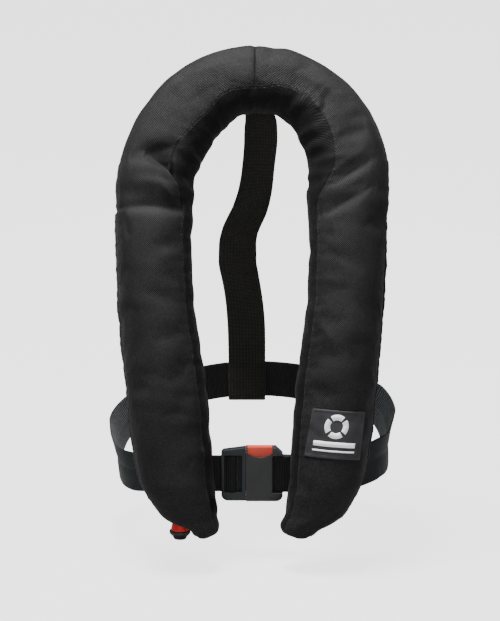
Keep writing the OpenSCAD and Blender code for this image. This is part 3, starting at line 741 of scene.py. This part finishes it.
def cord_paint(name, dark, light):
    """Braided cord: two crossing spirals."""
    p = Paint(name, Roughness=0.65, Sheen_Weight=0.2)
    x, y, z = p.xyz()
    braid = p.times(p.wave(p.add(z, x), 0.0022), p.wave(p.calc("SUBTRACT", z, y), 0.0022, 1.5))
    p.set(Base_Color=p.blend(p.spread(braid, -1, 1), dark, light))
    return p.bump(braid, 0.0002, 0.8)


def coated_paint(name, colour):
    """Welded bladder cloth: bright urethane over a fine weave, with soft creases."""
    p = Paint(name, Roughness=0.38)
    x, _, z = p.xyz()
    weave = p.times(p.wave(x, 0.0011), p.wave(z, 0.0011))
    crease = p.noise(35, 5, 0.65)
    # The colour darkens where the crease noise sinks the bump: painted shade in the crease hollows
    p.set(Base_Color=p.mottle(crease, shade(colour, 0.72), colour))
    return p.bump(p.add(p.times(weave, 0.1), p.times(crease, 4)), 0.0006, 0.6)


def pile_paint(name, colour):
    """Hook or loop tape: a dense field of small tufts."""
    p = Paint(name, Roughness=0.85, Sheen_Weight=0.5)
    tufts = p.cells(900)
    p.set(Base_Color=p.blend(tufts, shade(colour, 2), colour))
    return p.bump(tufts, 0.0005)


def reflective_paint():
    """Glass-bead tape printed with a fine honeycomb."""
    p = Paint("reflective_beads", Roughness=0.25, Metallic=0.6)
    comb = p.cells(420, feature="DISTANCE_TO_EDGE")
    p.set(Base_Color=p.blend(p.spread(comb, 0, 0.08), (0.35, 0.36, 0.38), (0.78, 0.8, 0.83)))
    return p.bump(comb, 0.0001, 0.5)


def label_paint():
    """Soft moulded patch with a fine diamond grain."""
    p = Paint("label_soft_pvc", Roughness=0.48, Specular_IOR_Level=0.4)
    u, v = p.uv()
    p.set(Base_Color=p.mottle(p.noise(70), (0.036, 0.036, 0.040), (0.056, 0.056, 0.061)))
    return p.bump(p.add(p.times(p.wave(u, 0.0009), p.wave(v, 0.0009)), p.noise(1500, 2)), 0.00004, 0.6)


def print_paint():
    """White print, scuffed in places, with a faint painted glow from its emission that makes it read
    brighter.
    """
    p = Paint("label_white_print_glow", Roughness=0.5, Emission_Color=(1, 1, 1, 1), Emission_Strength=0.4)
    scuff = p.spread(p.noise(380, 4, 0.7), 0.55, 0.75)
    p.set(Base_Color=p.blend(scuff, (0.98, 0.98, 0.97), (0.8, 0.8, 0.8)))
    return p.bump(p.noise(1600, 2), 0.00003, 0.5)


BLACK_WEB = webbing_paint("webbing_ribs", (0.0050, 0.0046, 0.0022), (0.0165, 0.0155, 0.0090))
BELT_WEB = belt_paint()
LOOP_WEB = webbing_paint("loop_webbing", (0.006, 0.006, 0.007), (0.024, 0.025, 0.028), rib=0.0013)
CLOTH = cloth_paint("cover_cloth_weave", 1.0)
# Darker copy of the cover cloth, at 0.3 of its colour: painted shade for the inner wall and back
SHADED_WALL_CLOTH = cloth_paint("wall_cloth_painted_shade", 0.3)
PIPING = webbing_paint("piping_cord", (0.012, 0.012, 0.014), (0.060, 0.060, 0.066), rib=0.0016)
THREAD = rubber_paint("sewing_thread", (0.022, 0.022, 0.024), 0.5)
HOOK_PILE = pile_paint("hook_tape_pile", (0.012, 0.012, 0.013))
LOOP_PILE = pile_paint("loop_tape_pile", (0.02, 0.02, 0.022))
YELLOW = coated_paint("bladder_urethane", (0.72, 0.44, 0.02))
REFLECTIVE = reflective_paint()
DARK_PLASTIC = plastic_paint("buckle_plastic_grain", (0.034, 0.035, 0.036), 0.45)
TONGUE_PLASTIC = plastic_paint("tongue_plastic_grain", (0.020, 0.026, 0.028), 0.40)
KEEPER_PLASTIC = plastic_paint("keeper_plastic_grain", (0.012, 0.012, 0.013), 0.5)
RED_BUTTON = plastic_paint("button_plastic", (0.98, 0.075, 0.045), 0.36)
RED_HANDLE = plastic_paint("handle_plastic", (1.0, 0.022, 0.02), 0.34)
BLACK_HANDLE = plastic_paint("handle_end_plastic", (0.026, 0.036, 0.030), 0.42)
WHISTLE_PLASTIC = plastic_paint("whistle_plastic", (0.75, 0.19, 0.02), 0.3)
STEEL = metal_paint("spring_wire", (0.55, 0.56, 0.58), 0.28)


# ---------------- cover panels
FRONT_COLUMNS = np.arange(0, FRONT_N + 1)
BACK_COLUMNS = np.arange(FRONT_N, COLUMNS)
# At the right tip the back is two plies, between these heights, that part to let the cord out
POCKET_LOW_V = 26
POCKET_TOP_V = 52
POCKET_DEPTH = 24.0
POCKET_LIFT = 4.5


def build_cover():
    for side, rows in (("left", np.arange(SEAM_ROW, ROWS)), ("right", np.arange(0, SEAM_ROW + 1))):
        panel = cloth_panel(f"cover_panel_front_{side}", rows, FRONT_COLUMNS, FRONT_UV)
        place(panel, CLOTH, node=f"cover_front_{side}")
    across = np.linspace(0, 1, len(BACK_COLUMNS))
    belly = np.clip((across - 0.32) / 0.2, 0, 1) * np.clip((1 - across) / 0.12, 0, 1)
    v = leg_height(Q)
    upper = np.nonzero((Q > 0) | (v > POCKET_LOW_V))[0]
    lift = np.where(Q[upper] < 0, POCKET_LIFT * np.exp(-(v[upper] - POCKET_LOW_V) / 14), 0.0)
    lower = np.nonzero((Q < 0) & (v < POCKET_TOP_V))[0]
    drop = -POCKET_DEPTH * np.clip((v[lower] - 8) / 42, 0, 1) ** 0.7
    for name, rows, off, node in (("cover_panel_back", upper, lift, "cover_back"),
                                  ("cover_tip_pocket", lower, drop, None)):
        panel = cloth_panel(name, rows, BACK_COLUMNS, BACK_UV, off[:, None] * belly)
        # These panels take the darkened cloth: painted shade on the inner wall
        place(panel, SHADED_WALL_CLOTH, node=node)


PIPING_R = 1.25


def build_piping():
    """Corded edge along the outer seam."""
    path = surface(np.arange(1, ROWS - 1), 0, 1.0)
    t = unit(np.gradient(path, axis=0))
    side = unit(np.cross(t, (0, 1, 0.3)))
    up = np.cross(side, t)
    ang = circle(10)
    rings = path[:, None] + PIPING_R * (np.cos(ang)[None, :, None] * side[:, None]
                                        + np.sin(ang)[None, :, None] * up[:, None])
    uv = np.stack(np.broadcast_arrays(running(path)[:, None] * MM, ang * PIPING_R * MM), -1)
    place(sweep("piping_bead", rings, uv), PIPING, node="edge_piping")


STITCH = 3.0
STITCH_GAP = 1.2
THREAD_R = 0.32
# Share of a stitch's length against its share of the full thickness
STITCH_SHAPE = ((0.0, 0.25), (0.18, 0.85), (0.5, 1.0), (0.82, 0.85), (1.0, 0.25))


def stitch_row(path, tips):
    """Rings of the stitches laid along a path, each a small bar pressed in at its ends."""
    s = running(path)
    ang = circle(6)[:, None]
    tubes = []
    for start in np.arange(0, s[-1] - STITCH, STITCH + STITCH_GAP):
        rings = []
        for share, thick in STITCH_SHAPE:
            p, tip, ahead = (np.array([np.interp(at, s, table[:, k]) for k in range(3)])
                             for table, at in ((path, start + share * STITCH), (tips, start + share * STITCH),
                                               (path, start + share * STITCH + 0.3)))
            n = unit(tip - p)
            side = unit(np.cross(n, ahead - p))
            r = THREAD_R * thick
            rings.append(p - n * (THREAD_R - r) + r * (np.cos(ang) * side + np.sin(ang) * n))
        tubes.append(np.array(rings))
    return tubes


def build_cover_stitches():
    """Topstitching beside both edges of the front, beside the inner seam and the collar's seam."""
    rows = np.arange(3, ROWS - 3)
    lines = [(rows, columns_at(rows, distance, column), 0.12)
             for distance, column in ((5.5, 0), (-2.5, COLUMNS - 1), (-2.2, FRONT_N))]
    lines += [(row_at(TOP_SEAM_Q + side), np.arange(2, FRONT_N - 1), 0.1) for side in (-1.9, 1.9)]
    tubes = []
    for row, column, off in lines:
        tubes += stitch_row(surface(row, column, off), surface(row, column, off + 1))
    place(sweep_all("cover_topstitching", tubes), THREAD)


build_cover()
build_piping()
build_cover_stitches()


# ---------------- closure tapes, bladder
def slab(name, rows, columns, off, thickness):
    """Thin sheet that follows the cover, its upper face standing out by off."""
    top, below = surface(rows, columns, off), surface(rows, columns, off - thickness)
    return sweep(name, np.concatenate([top, below[:, ::-1]], axis=1))


def build_closure_tapes():
    """Two tapes that face each other just inside the outer edge."""
    rows = np.arange(4, ROWS - 4)
    columns = np.stack([columns_at(rows, distance) for distance in np.linspace(5, 20, 5)], 1)
    for kind, off, thickness, material in (("hook", -1.8, 0.7, HOOK_PILE), ("loop", -2.9, 0.8, LOOP_PILE)):
        tape = slab(f"{kind}_tape", rows[:, None], columns, off, thickness)
        place(tape, material, node=f"closure_{kind}_tape")


def build_bladder():
    """Packed bladder: the cover's section set in, flat behind, with a pleat down its front."""
    slices = 40
    a = 360 * (np.arange(slices) + 0.5) / slices
    rings = []
    for q in Q[10:-10:3]:
        mid, w, e, n = flat_point(np.full(slices, q), a)
        dent = np.maximum(0, -fold_depth(mid[None])[0])
        inset = 10.0 + 1.6 * np.cos(np.radians(a) * 10) + 0.8 * math.sin(q * 0.35) + dent
        base = mid - e * (n[:, 0] * inset)[:, None]
        floor = 15.0 if q < 0 else 5.0
        if abs(q) <= 90 or leg_height(q) > 330:
            floor = -LOBE_BACK + 8
        floor = min(floor, LOBE_FRONT * fullness(q) - 16)
        depth = np.maximum(w - n[:, 1] * inset, floor + 0.01 * np.arange(slices))
        rings.append(sheet(base[:, 0], base[:, 1], depth))
    place(sweep("packed_bladder", np.array(rings)), YELLOW, node="bladder")


def build_reflective_patches():
    v = np.linspace(270, 190, 24)
    columns = np.linspace(FRONT_N * 0.42, FRONT_N * 0.66, 8)
    for side, name in ((-1, "right"), (1, "left")):
        rows = row_at(side * (90 + SPRING_V - v))
        patch = slab(f"reflective_patch_{name}", rows[:, None], columns, -3.9, 0.6)
        place(patch, REFLECTIVE, node="reflective_patches")


build_closure_tapes()
build_bladder()
build_reflective_patches()


# ---------------- label
LABEL_X = 87.0
LABEL_V = 115.0
LABEL_W = 56.0
LABEL_H = 50.0
LABEL_TURN = math.radians(-4.2)
LABEL_CORNER = 1.4
LABEL_T = 1.1
PRINT_T = 0.45


def label_point(s, t, off):
    """Point on the label at s across and t up it, in millimetres from its middle."""
    s = s * (1 - 0.0012 * t) + 0.07 * t
    x = LABEL_X + s * math.cos(LABEL_TURN) - t * math.sin(LABEL_TURN)
    v = LABEL_V + s * math.sin(LABEL_TURN) + t * math.cos(LABEL_TURN)
    return at_side(x, v, off)


def build_label():
    """Patch with rounded corners, a raised border and a groove inside it."""
    n = 41
    share = np.linspace(-1, 1, n)
    share = np.sign(share) * np.abs(share) ** 0.8
    inner_w, inner_h = LABEL_W / 2 - LABEL_CORNER, LABEL_H / 2 - LABEL_CORNER
    s, t = np.meshgrid(share * LABEL_W / 2, share * LABEL_H / 2, indexing="ij")
    cx, cy = np.abs(s) - inner_w, np.abs(t) - inner_h
    corner = (cx > 0) & (cy > 0)
    shrink = np.maximum(cx, cy) / np.maximum(np.hypot(cx, cy), 1e-6)
    s = np.where(corner, np.sign(s) * (inner_w + cx * shrink), s)
    t = np.where(corner, np.sign(t) * (inner_h + cy * shrink), t)
    edge = np.minimum(LABEL_W / 2 - np.abs(s), LABEL_H / 2 - np.abs(t))
    border = 0.45 * np.exp(-((edge - 1.6) / 0.8) ** 2) - 0.25 * np.exp(-((edge - 3.4) / 0.5) ** 2)
    verts = np.stack([label_point(s, t, LABEL_T + border), label_point(s, t, 0.05)])
    quads = [(a, a + 1, a + n + 1, a + n) for i in range(n - 1) for a in range(i * n, i * n + n - 1)]
    faces = quads + [(a + n * n, d + n * n, c + n * n, b + n * n) for a, b, c, d in quads]
    ends = range(n - 1)
    loop = ([j for j in ends] + [i * n + n - 1 for i in ends]
            + [n * n - 1 - j for j in ends] + [(n - 1 - i) * n for i in ends])
    for first, second in zip(loop, loop[1:] + loop[:1]):
        faces.append((first, first + n * n, second + n * n, second))
    piece = fix_normals(make_object("label_backing", verts, faces, np.stack([np.stack([s, t], -1)] * 2) * MM))
    place(soften(piece, 0.25, 2, 50), label_paint(), node="label_patch")


def build_label_mark():
    """Generic mark: a ring buoy with its four bands, over two plain bars."""
    bands = []
    for k in range(4):
        a = np.radians(np.linspace(90 * k + 53, 90 * k + 127, 22))
        arc = np.stack([np.cos(a), np.sin(a)], -1)
        bands.append((arc * 12.5 + (0, 8.5), arc * 6.8 + (0, 8.5)))
    for y, thick in ((-10.0, 5.0), (-17.0, 1.6)):
        x = np.linspace(-21, 21, 30)
        bands.append([np.stack([x, np.full_like(x, y + half)], -1) for half in (thick / 2, -thick / 2)])
    low, high = LABEL_T - 0.05, LABEL_T + PRINT_T
    tubes = [np.stack([label_point(*line.T, off) for line, off in
                       ((outer, low), (outer, high), (inner, high), (inner, low))], axis=1)
             for outer, inner in bands]
    place(sweep_all("label_emblem", tubes), print_paint(), node="label_mark")


build_label()
build_label_mark()


# ---------------- webbing
def belt_level(y, x=0.0):
    """Height of the belt's middle; its wearer's-left side sits higher than its right."""
    left = 11.0 * np.clip((x - 104) / 30, 0, 1)
    left = left + 3.0 * np.clip((x - 60) / 70, 0, 1) * np.clip(y / 50, 0, 1)
    right = np.clip((-x - 85) / 40, 0, 1) * (6.0 * np.clip((y + 70) / 90, 0, 1) - 3.5)
    rise = LOOP_RISE * np.maximum(0, (y + LOOP_D) / (2 * LOOP_D)) ** RISE_POWER
    return BELT_Z + left + right + rise


def loop_path(first, last):
    """Belt between two plan angles: x, y, z and the angle's cosine; flat-fronted, rounder behind."""
    a = np.linspace(first, last, 400)
    c, s = np.cos(a), np.sin(a)
    power = np.where(s < 0, np.where(c > 0, 0.44, 0.5), np.where(c > 0, 0.9, 1.0))
    x = LOOP_W * np.sign(c) * np.abs(c) ** power
    y = LOOP_D * np.sign(s) * np.abs(s) ** power
    return np.stack([x, y, belt_level(y, x), c], -1)


def resample(points, step=1.6):
    """Even steps along a path, its corners softened and its ends kept."""
    points = np.asarray(points, float)
    s = running(points[:, :3])
    at = np.linspace(0, s[-1], max(2, int(round(s[-1] / step)) + 1))
    points = np.stack([np.interp(at, s, column) for column in points.T], -1)
    for _ in range(2):
        points[1:-1] = 0.25 * points[:-2] + 0.5 * points[1:-1] + 0.25 * points[2:]
    return points


def ribbon(name, base, normal, half, length, places, inside_v=0.0, closed=False):
    """Flat strip: middle points, normals and half thickness; UVs run along it and across it."""
    up = normal[:, None] * half[None, :, None]
    rings = np.concatenate([base + up, (base - up)[:, ::-1][:, 1:-1]], axis=1)
    across = np.concatenate([places * MM, places[::-1][1:-1] * MM + inside_v])
    uv = np.stack(np.broadcast_arrays(length[:, None] * MM, across), -1)
    return sweep(name, rings, uv, closed)


HALF_ACROSS = np.array([0.05, 0.15, 0.3, 0.5, 0.7, 0.88, 0.95, 0.985, 1])
ACROSS = np.concatenate([-HALF_ACROSS[::-1], HALF_ACROSS])


def strap(name, path, across, width, bend, start=0.0, inside_v=0.0):
    """Woven strap along a path, with rounded selvages; bend pushes its points off its plane."""
    across = unit(across)
    t = unit(np.gradient(path, axis=0))
    across = unit(across - t * np.sum(across * t, axis=1, keepdims=True))
    normal = np.cross(t, across)
    half = WEB_T / 2 * (1 - np.abs(ACROSS) ** 22) ** 0.5
    half = half + 0.14 * np.exp(-((np.abs(ACROSS) - 0.92) / 0.035) ** 2)
    base = path[:, None] + across[:, None] * (ACROSS * width[:, None] / 2)[..., None]
    base = base + normal[:, None] * bend[..., None]
    return ribbon(name, base, normal, half, running(path) + start, ACROSS * width[0] / 2, inside_v)


PLY = 1.2
WRAP_R = 4.2
# Hang of the back strap: height, sideways place of its middle, width
HANG = [(40, -6.0, 40.6), (83, -6.5, 41.4), (108, -8.1, 41.6), (131, -10.9, 41.6), (149, -13.8, 41.6),
        (166, -16.3, 41.6), (185, -16.3, 41.0), (200, -14.1, 40.2), (211, -10.0, 39.8), (228, -2.6, 40),
        (250, 3.3, 38.6), (273, 6.5, 36.8), (307, 9.1, 36.4), (325, 9.1, 35), (339, 7.5, 30.5), (355, 7, 28)]
ADJUSTER_X = -20.4
HOUSING_X = (-7.0, 32.3)
FOLD_X = HOUSING_X[1] - 4.3
SPLIT_A = math.radians(193)
TAIL_X = (-70, -91)


def wrap_plan(bar_x, side, apart, meet):
    """Webbing folded round a bar: both plies, in plan, from the far end of one to that of the other."""
    arc = [(bar_x - side * WRAP_R * math.cos(a), WRAP_R * math.sin(a))
           for a in np.radians(np.arange(-90, 91, 15))]
    plan = ([(bar_x + side * 34, -PLY), (bar_x + side * meet, -PLY), (bar_x + side * apart, -WRAP_R)] + arc
            + [(bar_x + side * apart, WRAP_R), (bar_x + side * meet, PLY), (bar_x + side * 34, PLY)])
    return [(x, y - LOOP_D, BELT_Z, 0.0) for x, y in plan]


def belt_strap(name, parts, start=0.0):
    """Belt webbing through the parts of its path; returns the piece and its path."""
    plan = np.concatenate(parts)
    plan[:, 2] = belt_level(plan[:, 1], plan[:, 0])
    plan = resample(plan)
    x, y, cosine = plan[:, 0], plan[:, 1], plan[:, 3]
    # It stands up and spreads where it turns forward
    turned = np.clip((np.abs(x) - 104) / 24, 0, 1) * np.clip((10 - y) / 50, 0, 1)
    lean = 13 * cosine * np.abs(cosine) * (1 - turned * np.where(x > 0, 1.0, 0.6))
    across = np.stack([lean, np.zeros_like(lean), np.full_like(lean, WEB_W)], -1)
    width = WEB_W * (1 + turned * np.where(x > 0, 0.16, 0.12))
    # Its top half turns outward over a crease where it rounds the wearer's sides
    crease = 2.6 * np.clip(ACROSS, 0, 1) ** 1.2 - 1.0 * np.exp(-(ACROSS / 0.16) ** 2)
    bend = np.clip((np.abs(cosine) - 0.45) / 0.4, 0, 1)[:, None] * crease
    return strap(name, plan[:, :3], across, width, bend, start, INSIDE_V), plan[:, :3]


def build_belts():
    """The belt in two straps, cut behind the right lobe; the second is attached to no body."""
    first = -math.acos((78 / LOOP_W) ** (1 / 0.44))
    last = 2 * math.pi - math.acos((97 / LOOP_W) ** 2)
    belt, path = belt_strap("waist_strap", [wrap_plan(FOLD_X, 1, 5, 20), loop_path(first, SPLIT_A)])
    place(belt, BELT_WEB, node="waist_belt")
    tail = [(x, -PLY - LOOP_D, BELT_Z, 0.0) for x in TAIL_X]
    parts = [loop_path(SPLIT_A, last), wrap_plan(ADJUSTER_X, -1, 1, 9.5)[-2::-1], tail]
    piece, end_path = belt_strap("adjuster_strap", parts, running(path)[-1])
    place(piece, BELT_WEB, body=None, node="belt_adjuster_end")
    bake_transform(piece)


def belt_ring(name, x, y, width, room_y, room_z):
    """Loop of narrow webbing round the belt."""
    thick, r = 1.2, 1.6
    hy, hz = (room_y + thick) / 2, (room_z + thick) / 2
    path = np.array([(x, y + sy * (hy - r) + r * math.cos(a), BELT_Z + sz * (hz - r) + r * math.sin(a))
                     for sy, sz, a0 in ((1, 1, 0), (-1, 1, 90), (-1, -1, 180), (1, -1, 270))
                     for a in np.radians(np.linspace(a0, a0 + 90, 5))])
    t = unit(np.roll(path, -1, 0) - np.roll(path, 1, 0))
    places = np.linspace(-1, 1, 9)
    half = thick / 2 * (1 - np.abs(places) ** 8) ** 0.5
    base = path[:, None] + np.array([1.0, 0, 0]) * (places * width / 2)[:, None]
    return ribbon(name, base, np.cross(t, (1, 0, 0)), half, running(path), places * width / 2, closed=True)


def build_back_strap():
    """Strap from the collar down to the rear run, turned under it and back up."""
    under = -LOBE_BACK - 1.5
    rear_z = belt_level(LOOP_D)
    turn_r = 3.5
    turn_z = rear_z - WEB_W / 2 - 1
    top, high = sheet(0, 478, under), sheet(0, 502, under)
    t = np.linspace(0, 1, 60)[1:, None]
    hang = top + (np.array([0, LOOP_D - turn_r, rear_z + WEB_W / 2]) - top) * t
    turn = [(0, LOOP_D + turn_r * math.cos(a), turn_z + turn_r * math.sin(a))
            for a in np.radians(np.arange(180, 361, 15))]
    end = [(0, LOOP_D + turn_r, rear_z + 22), (0, LOOP_D + 0.5, rear_z + 52)]
    path = resample(np.concatenate([[high, top], hang, turn, end]))
    z = np.clip(path[:, 2], turn_z, top[2])
    path[:, 0] = smooth_lookup(z, [row[:2] for row in HANG])
    width = smooth_lookup(z, [row[::2] for row in HANG])
    slope = np.gradient(path[:, 0]) / np.maximum(np.abs(np.gradient(path[:, 2])), 0.3)
    hanging = np.clip((z - rear_z - 60) / 60, 0, 1) * np.clip((top[2] - z) / 60, 0, 1)
    twist = np.radians(16) * np.sin((z - 172) / 52) * hanging
    across = np.stack([np.cos(twist), np.sin(twist), 0.25 * np.clip(slope, -1, 1) * hanging], -1)
    dish = hanging[:, None] * (1.6 * ACROSS**2 * np.sin((z - 150) / 30)[:, None])
    place(strap("back_webbing", path, across, width, dish), BLACK_WEB, node="back_strap")


build_belts()
for side, x, y in (("right", -100, -LOOP_D), ("left", 80, -LOOP_D + 1.6)):
    loop = belt_ring(f"belt_loop_{side}", x, y, 16, 6.4, WEB_W + 2)
    place(loop, LOOP_WEB, node="belt_loops")
keeper = belt_ring("strap_keeper", -48, -LOOP_D, 8, 5.4, WEB_W + 1)
place(keeper, KEEPER_PLASTIC, "tongue", "tail_keeper")
build_back_strap()


# ---------------- moulded parts
def copy_of(node, name):
    return link(name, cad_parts[node].data.copy())


def rounded_copy(node, name, material, body, width=0.5, angle=30, stretch=None):
    """Copy of a moulded node with softened edges; stretch moves the face at one x to another."""
    def merge(bm):
        bmesh.ops.remove_doubles(bm, verts=bm.verts, dist=0.02 * MM)
        bmesh.ops.dissolve_limit(bm, angle_limit=math.radians(1.5), verts=bm.verts, edges=bm.edges)
        for vert in bm.verts:
            if stretch and abs(vert.co.x - stretch[0] * MM) < 0.02 * MM:
                vert.co.x = stretch[1] * MM

    obj = soften(edit(copy_of(node, name), merge), width, 3, angle)
    obj.data.shade_smooth()
    obj.data.set_sharp_from_angle(angle=math.radians(40))
    place(obj, material, body, node=node)


# Height above the foot and radius, up the outside of the handle's end
FOOT_PROFILE = [(0.0, 0.0), (0.0, 5.6), (0.25, 6.4), (0.9, 6.9), (2.2, 7.3), (5.2, 9.9), (6.2, 10.9),
                (6.9, 11.2), (8.9, 11.2), (9.5, 11.0), (9.8, 10.5), (9.8, 1.5), (12.0, 1.5), (12.0, 0.0)]


def build_handle_end():
    """Turned foot on the handle's own upright axis."""
    low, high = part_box("handle_end")
    foot = np.array([(low.x + high.x) / 2, (low.y + high.y) / 2, low.z]) / MM
    ang = circle(48)
    rings = [foot + np.stack([r * np.cos(ang), r * np.sin(ang), np.full_like(ang, z)], -1)
             for z, r in FOOT_PROFILE]

    def merge(bm):
        bmesh.ops.remove_doubles(bm, verts=bm.verts, dist=0.001 * MM)
        bmesh.ops.dissolve_degenerate(bm, dist=0.001 * MM, edges=bm.edges)

    piece = edit(sweep("toggle_base", rings), merge)
    piece.data.set_sharp_from_angle(angle=math.radians(35))
    place(fix_normals(piece), BLACK_HANDLE, "cord", node="handle_end")


def coil_spring(node, name):
    """Copy of the node's coil in spring steel, on no body, its placing baked into its mesh."""
    obj = copy_of(node, name)
    place(obj, STEEL, body=None, node=node)
    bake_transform(obj)


rounded_copy("buckle_housing", "buckle_shell", DARK_PLASTIC, "jacket", 0.35)
# The frame's face reaches the housing's mouth, which the CAD leaves clear
rounded_copy("buckle_tongue", "buckle_frame", TONGUE_PLASTIC, "tongue", 0.3,
             stretch=(HOUSING_X[0] - 0.3, HOUSING_X[0] - 0.03))
rounded_copy("release_button", "buckle_button", RED_BUTTON, "button")
rounded_copy("pull_handle", "toggle_grip", RED_HANDLE, "cord", angle=25)
build_handle_end()
rounded_copy("whistle", "pea_whistle", WHISTLE_PLASTIC, "jacket")

coil_spring("button_spring", "button_coil")
coil_spring("firing_spring", "firing_coil")
coil_spring("valve_spring", "valve_coil")

CARRIED = {
    "inflator_body": plastic_paint("inflator_moulding", (0.02, 0.021, 0.023), 0.45),
    "co2_cylinder": metal_paint("zinc_cylinder", (0.42, 0.43, 0.45), 0.34, 0.0007),
    "cylinder_seal": metal_paint("brass_seal", (0.75, 0.56, 0.25)),
    "cylinder_gasket": rubber_paint("red_gasket", (0.28, 0.03, 0.02)),
    "inflator_lever": plastic_paint("lever_plastic", (0.52, 0.05, 0.03), 0.35),
    "lever_pin": metal_paint("pin_steel", (0.6, 0.61, 0.62), 0.25),
    "firing_pin": metal_paint("striker_steel", (0.5, 0.5, 0.52)),
    "auto_cartridge": plastic_paint("cartridge_plastic", (0.72, 0.66, 0.46), 0.5),
    "cartridge_cap": plastic_paint("cap_plastic", (0.03, 0.17, 0.05), 0.4),
    "manifold_stem": metal_paint("manifold_alloy", (0.7, 0.71, 0.73), 0.32),
    "manifold_gasket": rubber_paint("black_gasket", (0.012, 0.012, 0.012)),
    "manifold_nut": metal_paint("nut_alloy", (0.72, 0.73, 0.75), 0.28),
    "status_indicator": plastic_paint("indicator_plastic", (0.04, 0.5, 0.1), 0.25),
    "pull_cord": cord_paint("cord_braid", (0.006, 0.006, 0.007), (0.035, 0.035, 0.04)),
    "oral_tube": rubber_paint("tube_rubber", (0.62, 0.42, 0.02), 0.5),
    "oral_valve_body": plastic_paint("valve_moulding", (0.015, 0.016, 0.018), 0.4),
    "valve_poppet": plastic_paint("poppet_plastic", (0.75, 0.75, 0.72), 0.4),
    "oral_cap": rubber_paint("cap_rubber", (0.014, 0.015, 0.017), 0.5),
    "whistle_lanyard": cord_paint("lanyard_braid", (0.55, 0.55, 0.52), (0.8, 0.8, 0.77)),
}
for node, material in CARRIED.items():
    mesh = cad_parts[node].data
    mesh.materials.clear()
    mesh.materials.append(material)


# ---------------- floor, light, camera
FLOOR_HALF = 14.0
# Room under the handle, which drops when the lever swings
FLOOR_GAP = 0.026
FLOOR_GLOW = 2.4
# Distance to the aim, and height of the picture there
VIEW_FAR = 4.5
VIEW_H = 0.658
# The picture's middle: sideways, and up the slope from the tip
AIM_X = -0.00265
AIM_V = 0.2433


def build_floor():
    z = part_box("handle_end")[0].z - FLOOR_GAP
    corners = [(x * FLOOR_HALF, y * FLOOR_HALF, z) for x, y in ((-1, -1), (1, -1), (1, 1), (-1, 1))]
    mesh = bpy.data.meshes.new("floor")
    mesh.from_pydata(corners, [], [(0, 1, 2, 3)])
    paint = Paint("pale_floor", Roughness=0.9, Specular_IOR_Level=0.1, Emission_Color=(1, 1, 1, 1))
    cloudy = paint.spread(paint.noise(1.2, 2), 0.3, 0.7, 0.32, 0.36)
    seen = paint.node("LightPath").outputs["Is Camera Ray"]
    paint.set(Base_Color=paint.blend(cloudy, (0.0, 0.0, 0.0), (1.0, 1.0, 1.0)),
              Emission_Strength=paint.times(seen, FLOOR_GLOW))
    mesh.materials.append(paint.material)
    link("floor", mesh)


def build_world():
    world = bpy.data.worlds.new("studio")
    bpy.context.scene.world = world
    world.use_nodes = True
    colour, strength = world.node_tree.nodes["Background"].inputs[:2]
    colour.default_value = (1, 1, 1, 1)
    strength.default_value = 0.13


def area_light(name, location, target, size, power):
    data = bpy.data.lights.new(name, "AREA")
    data.shape = "DISK"
    data.size = size
    data.energy = power
    light = link(name, data)
    light.location = location
    light.rotation_euler = (Vector(target) - Vector(location)).to_track_quat("-Z", "Y").to_euler()


def build_camera():
    """Square on, looking down by the horseshoe's lean."""
    aim = Vector((AIM_X, TIP_Y * MM + AIM_V * math.sin(LEAN), TIP_Z * MM + AIM_V * math.cos(LEAN)))
    data = bpy.data.cameras.new("camera")
    data.sensor_fit = "VERTICAL"
    data.sensor_height = 24
    data.lens = data.sensor_height * VIEW_FAR / VIEW_H
    camera = link("camera", data)
    camera.location = aim - VIEW_FAR * Vector((0, math.cos(LEAN), -math.sin(LEAN)))
    camera.rotation_euler = (math.pi / 2 - LEAN, 0, 0)
    bpy.context.scene.camera = camera


build_floor()
build_world()
area_light("overhead", (-0.3, -0.12, 2.3), (0, 0, 0.2), 1.0, 109)
area_light("front", (0.2, -3.2, 1.1), (0, 0, 0.15), 1.4, 16)
build_camera()
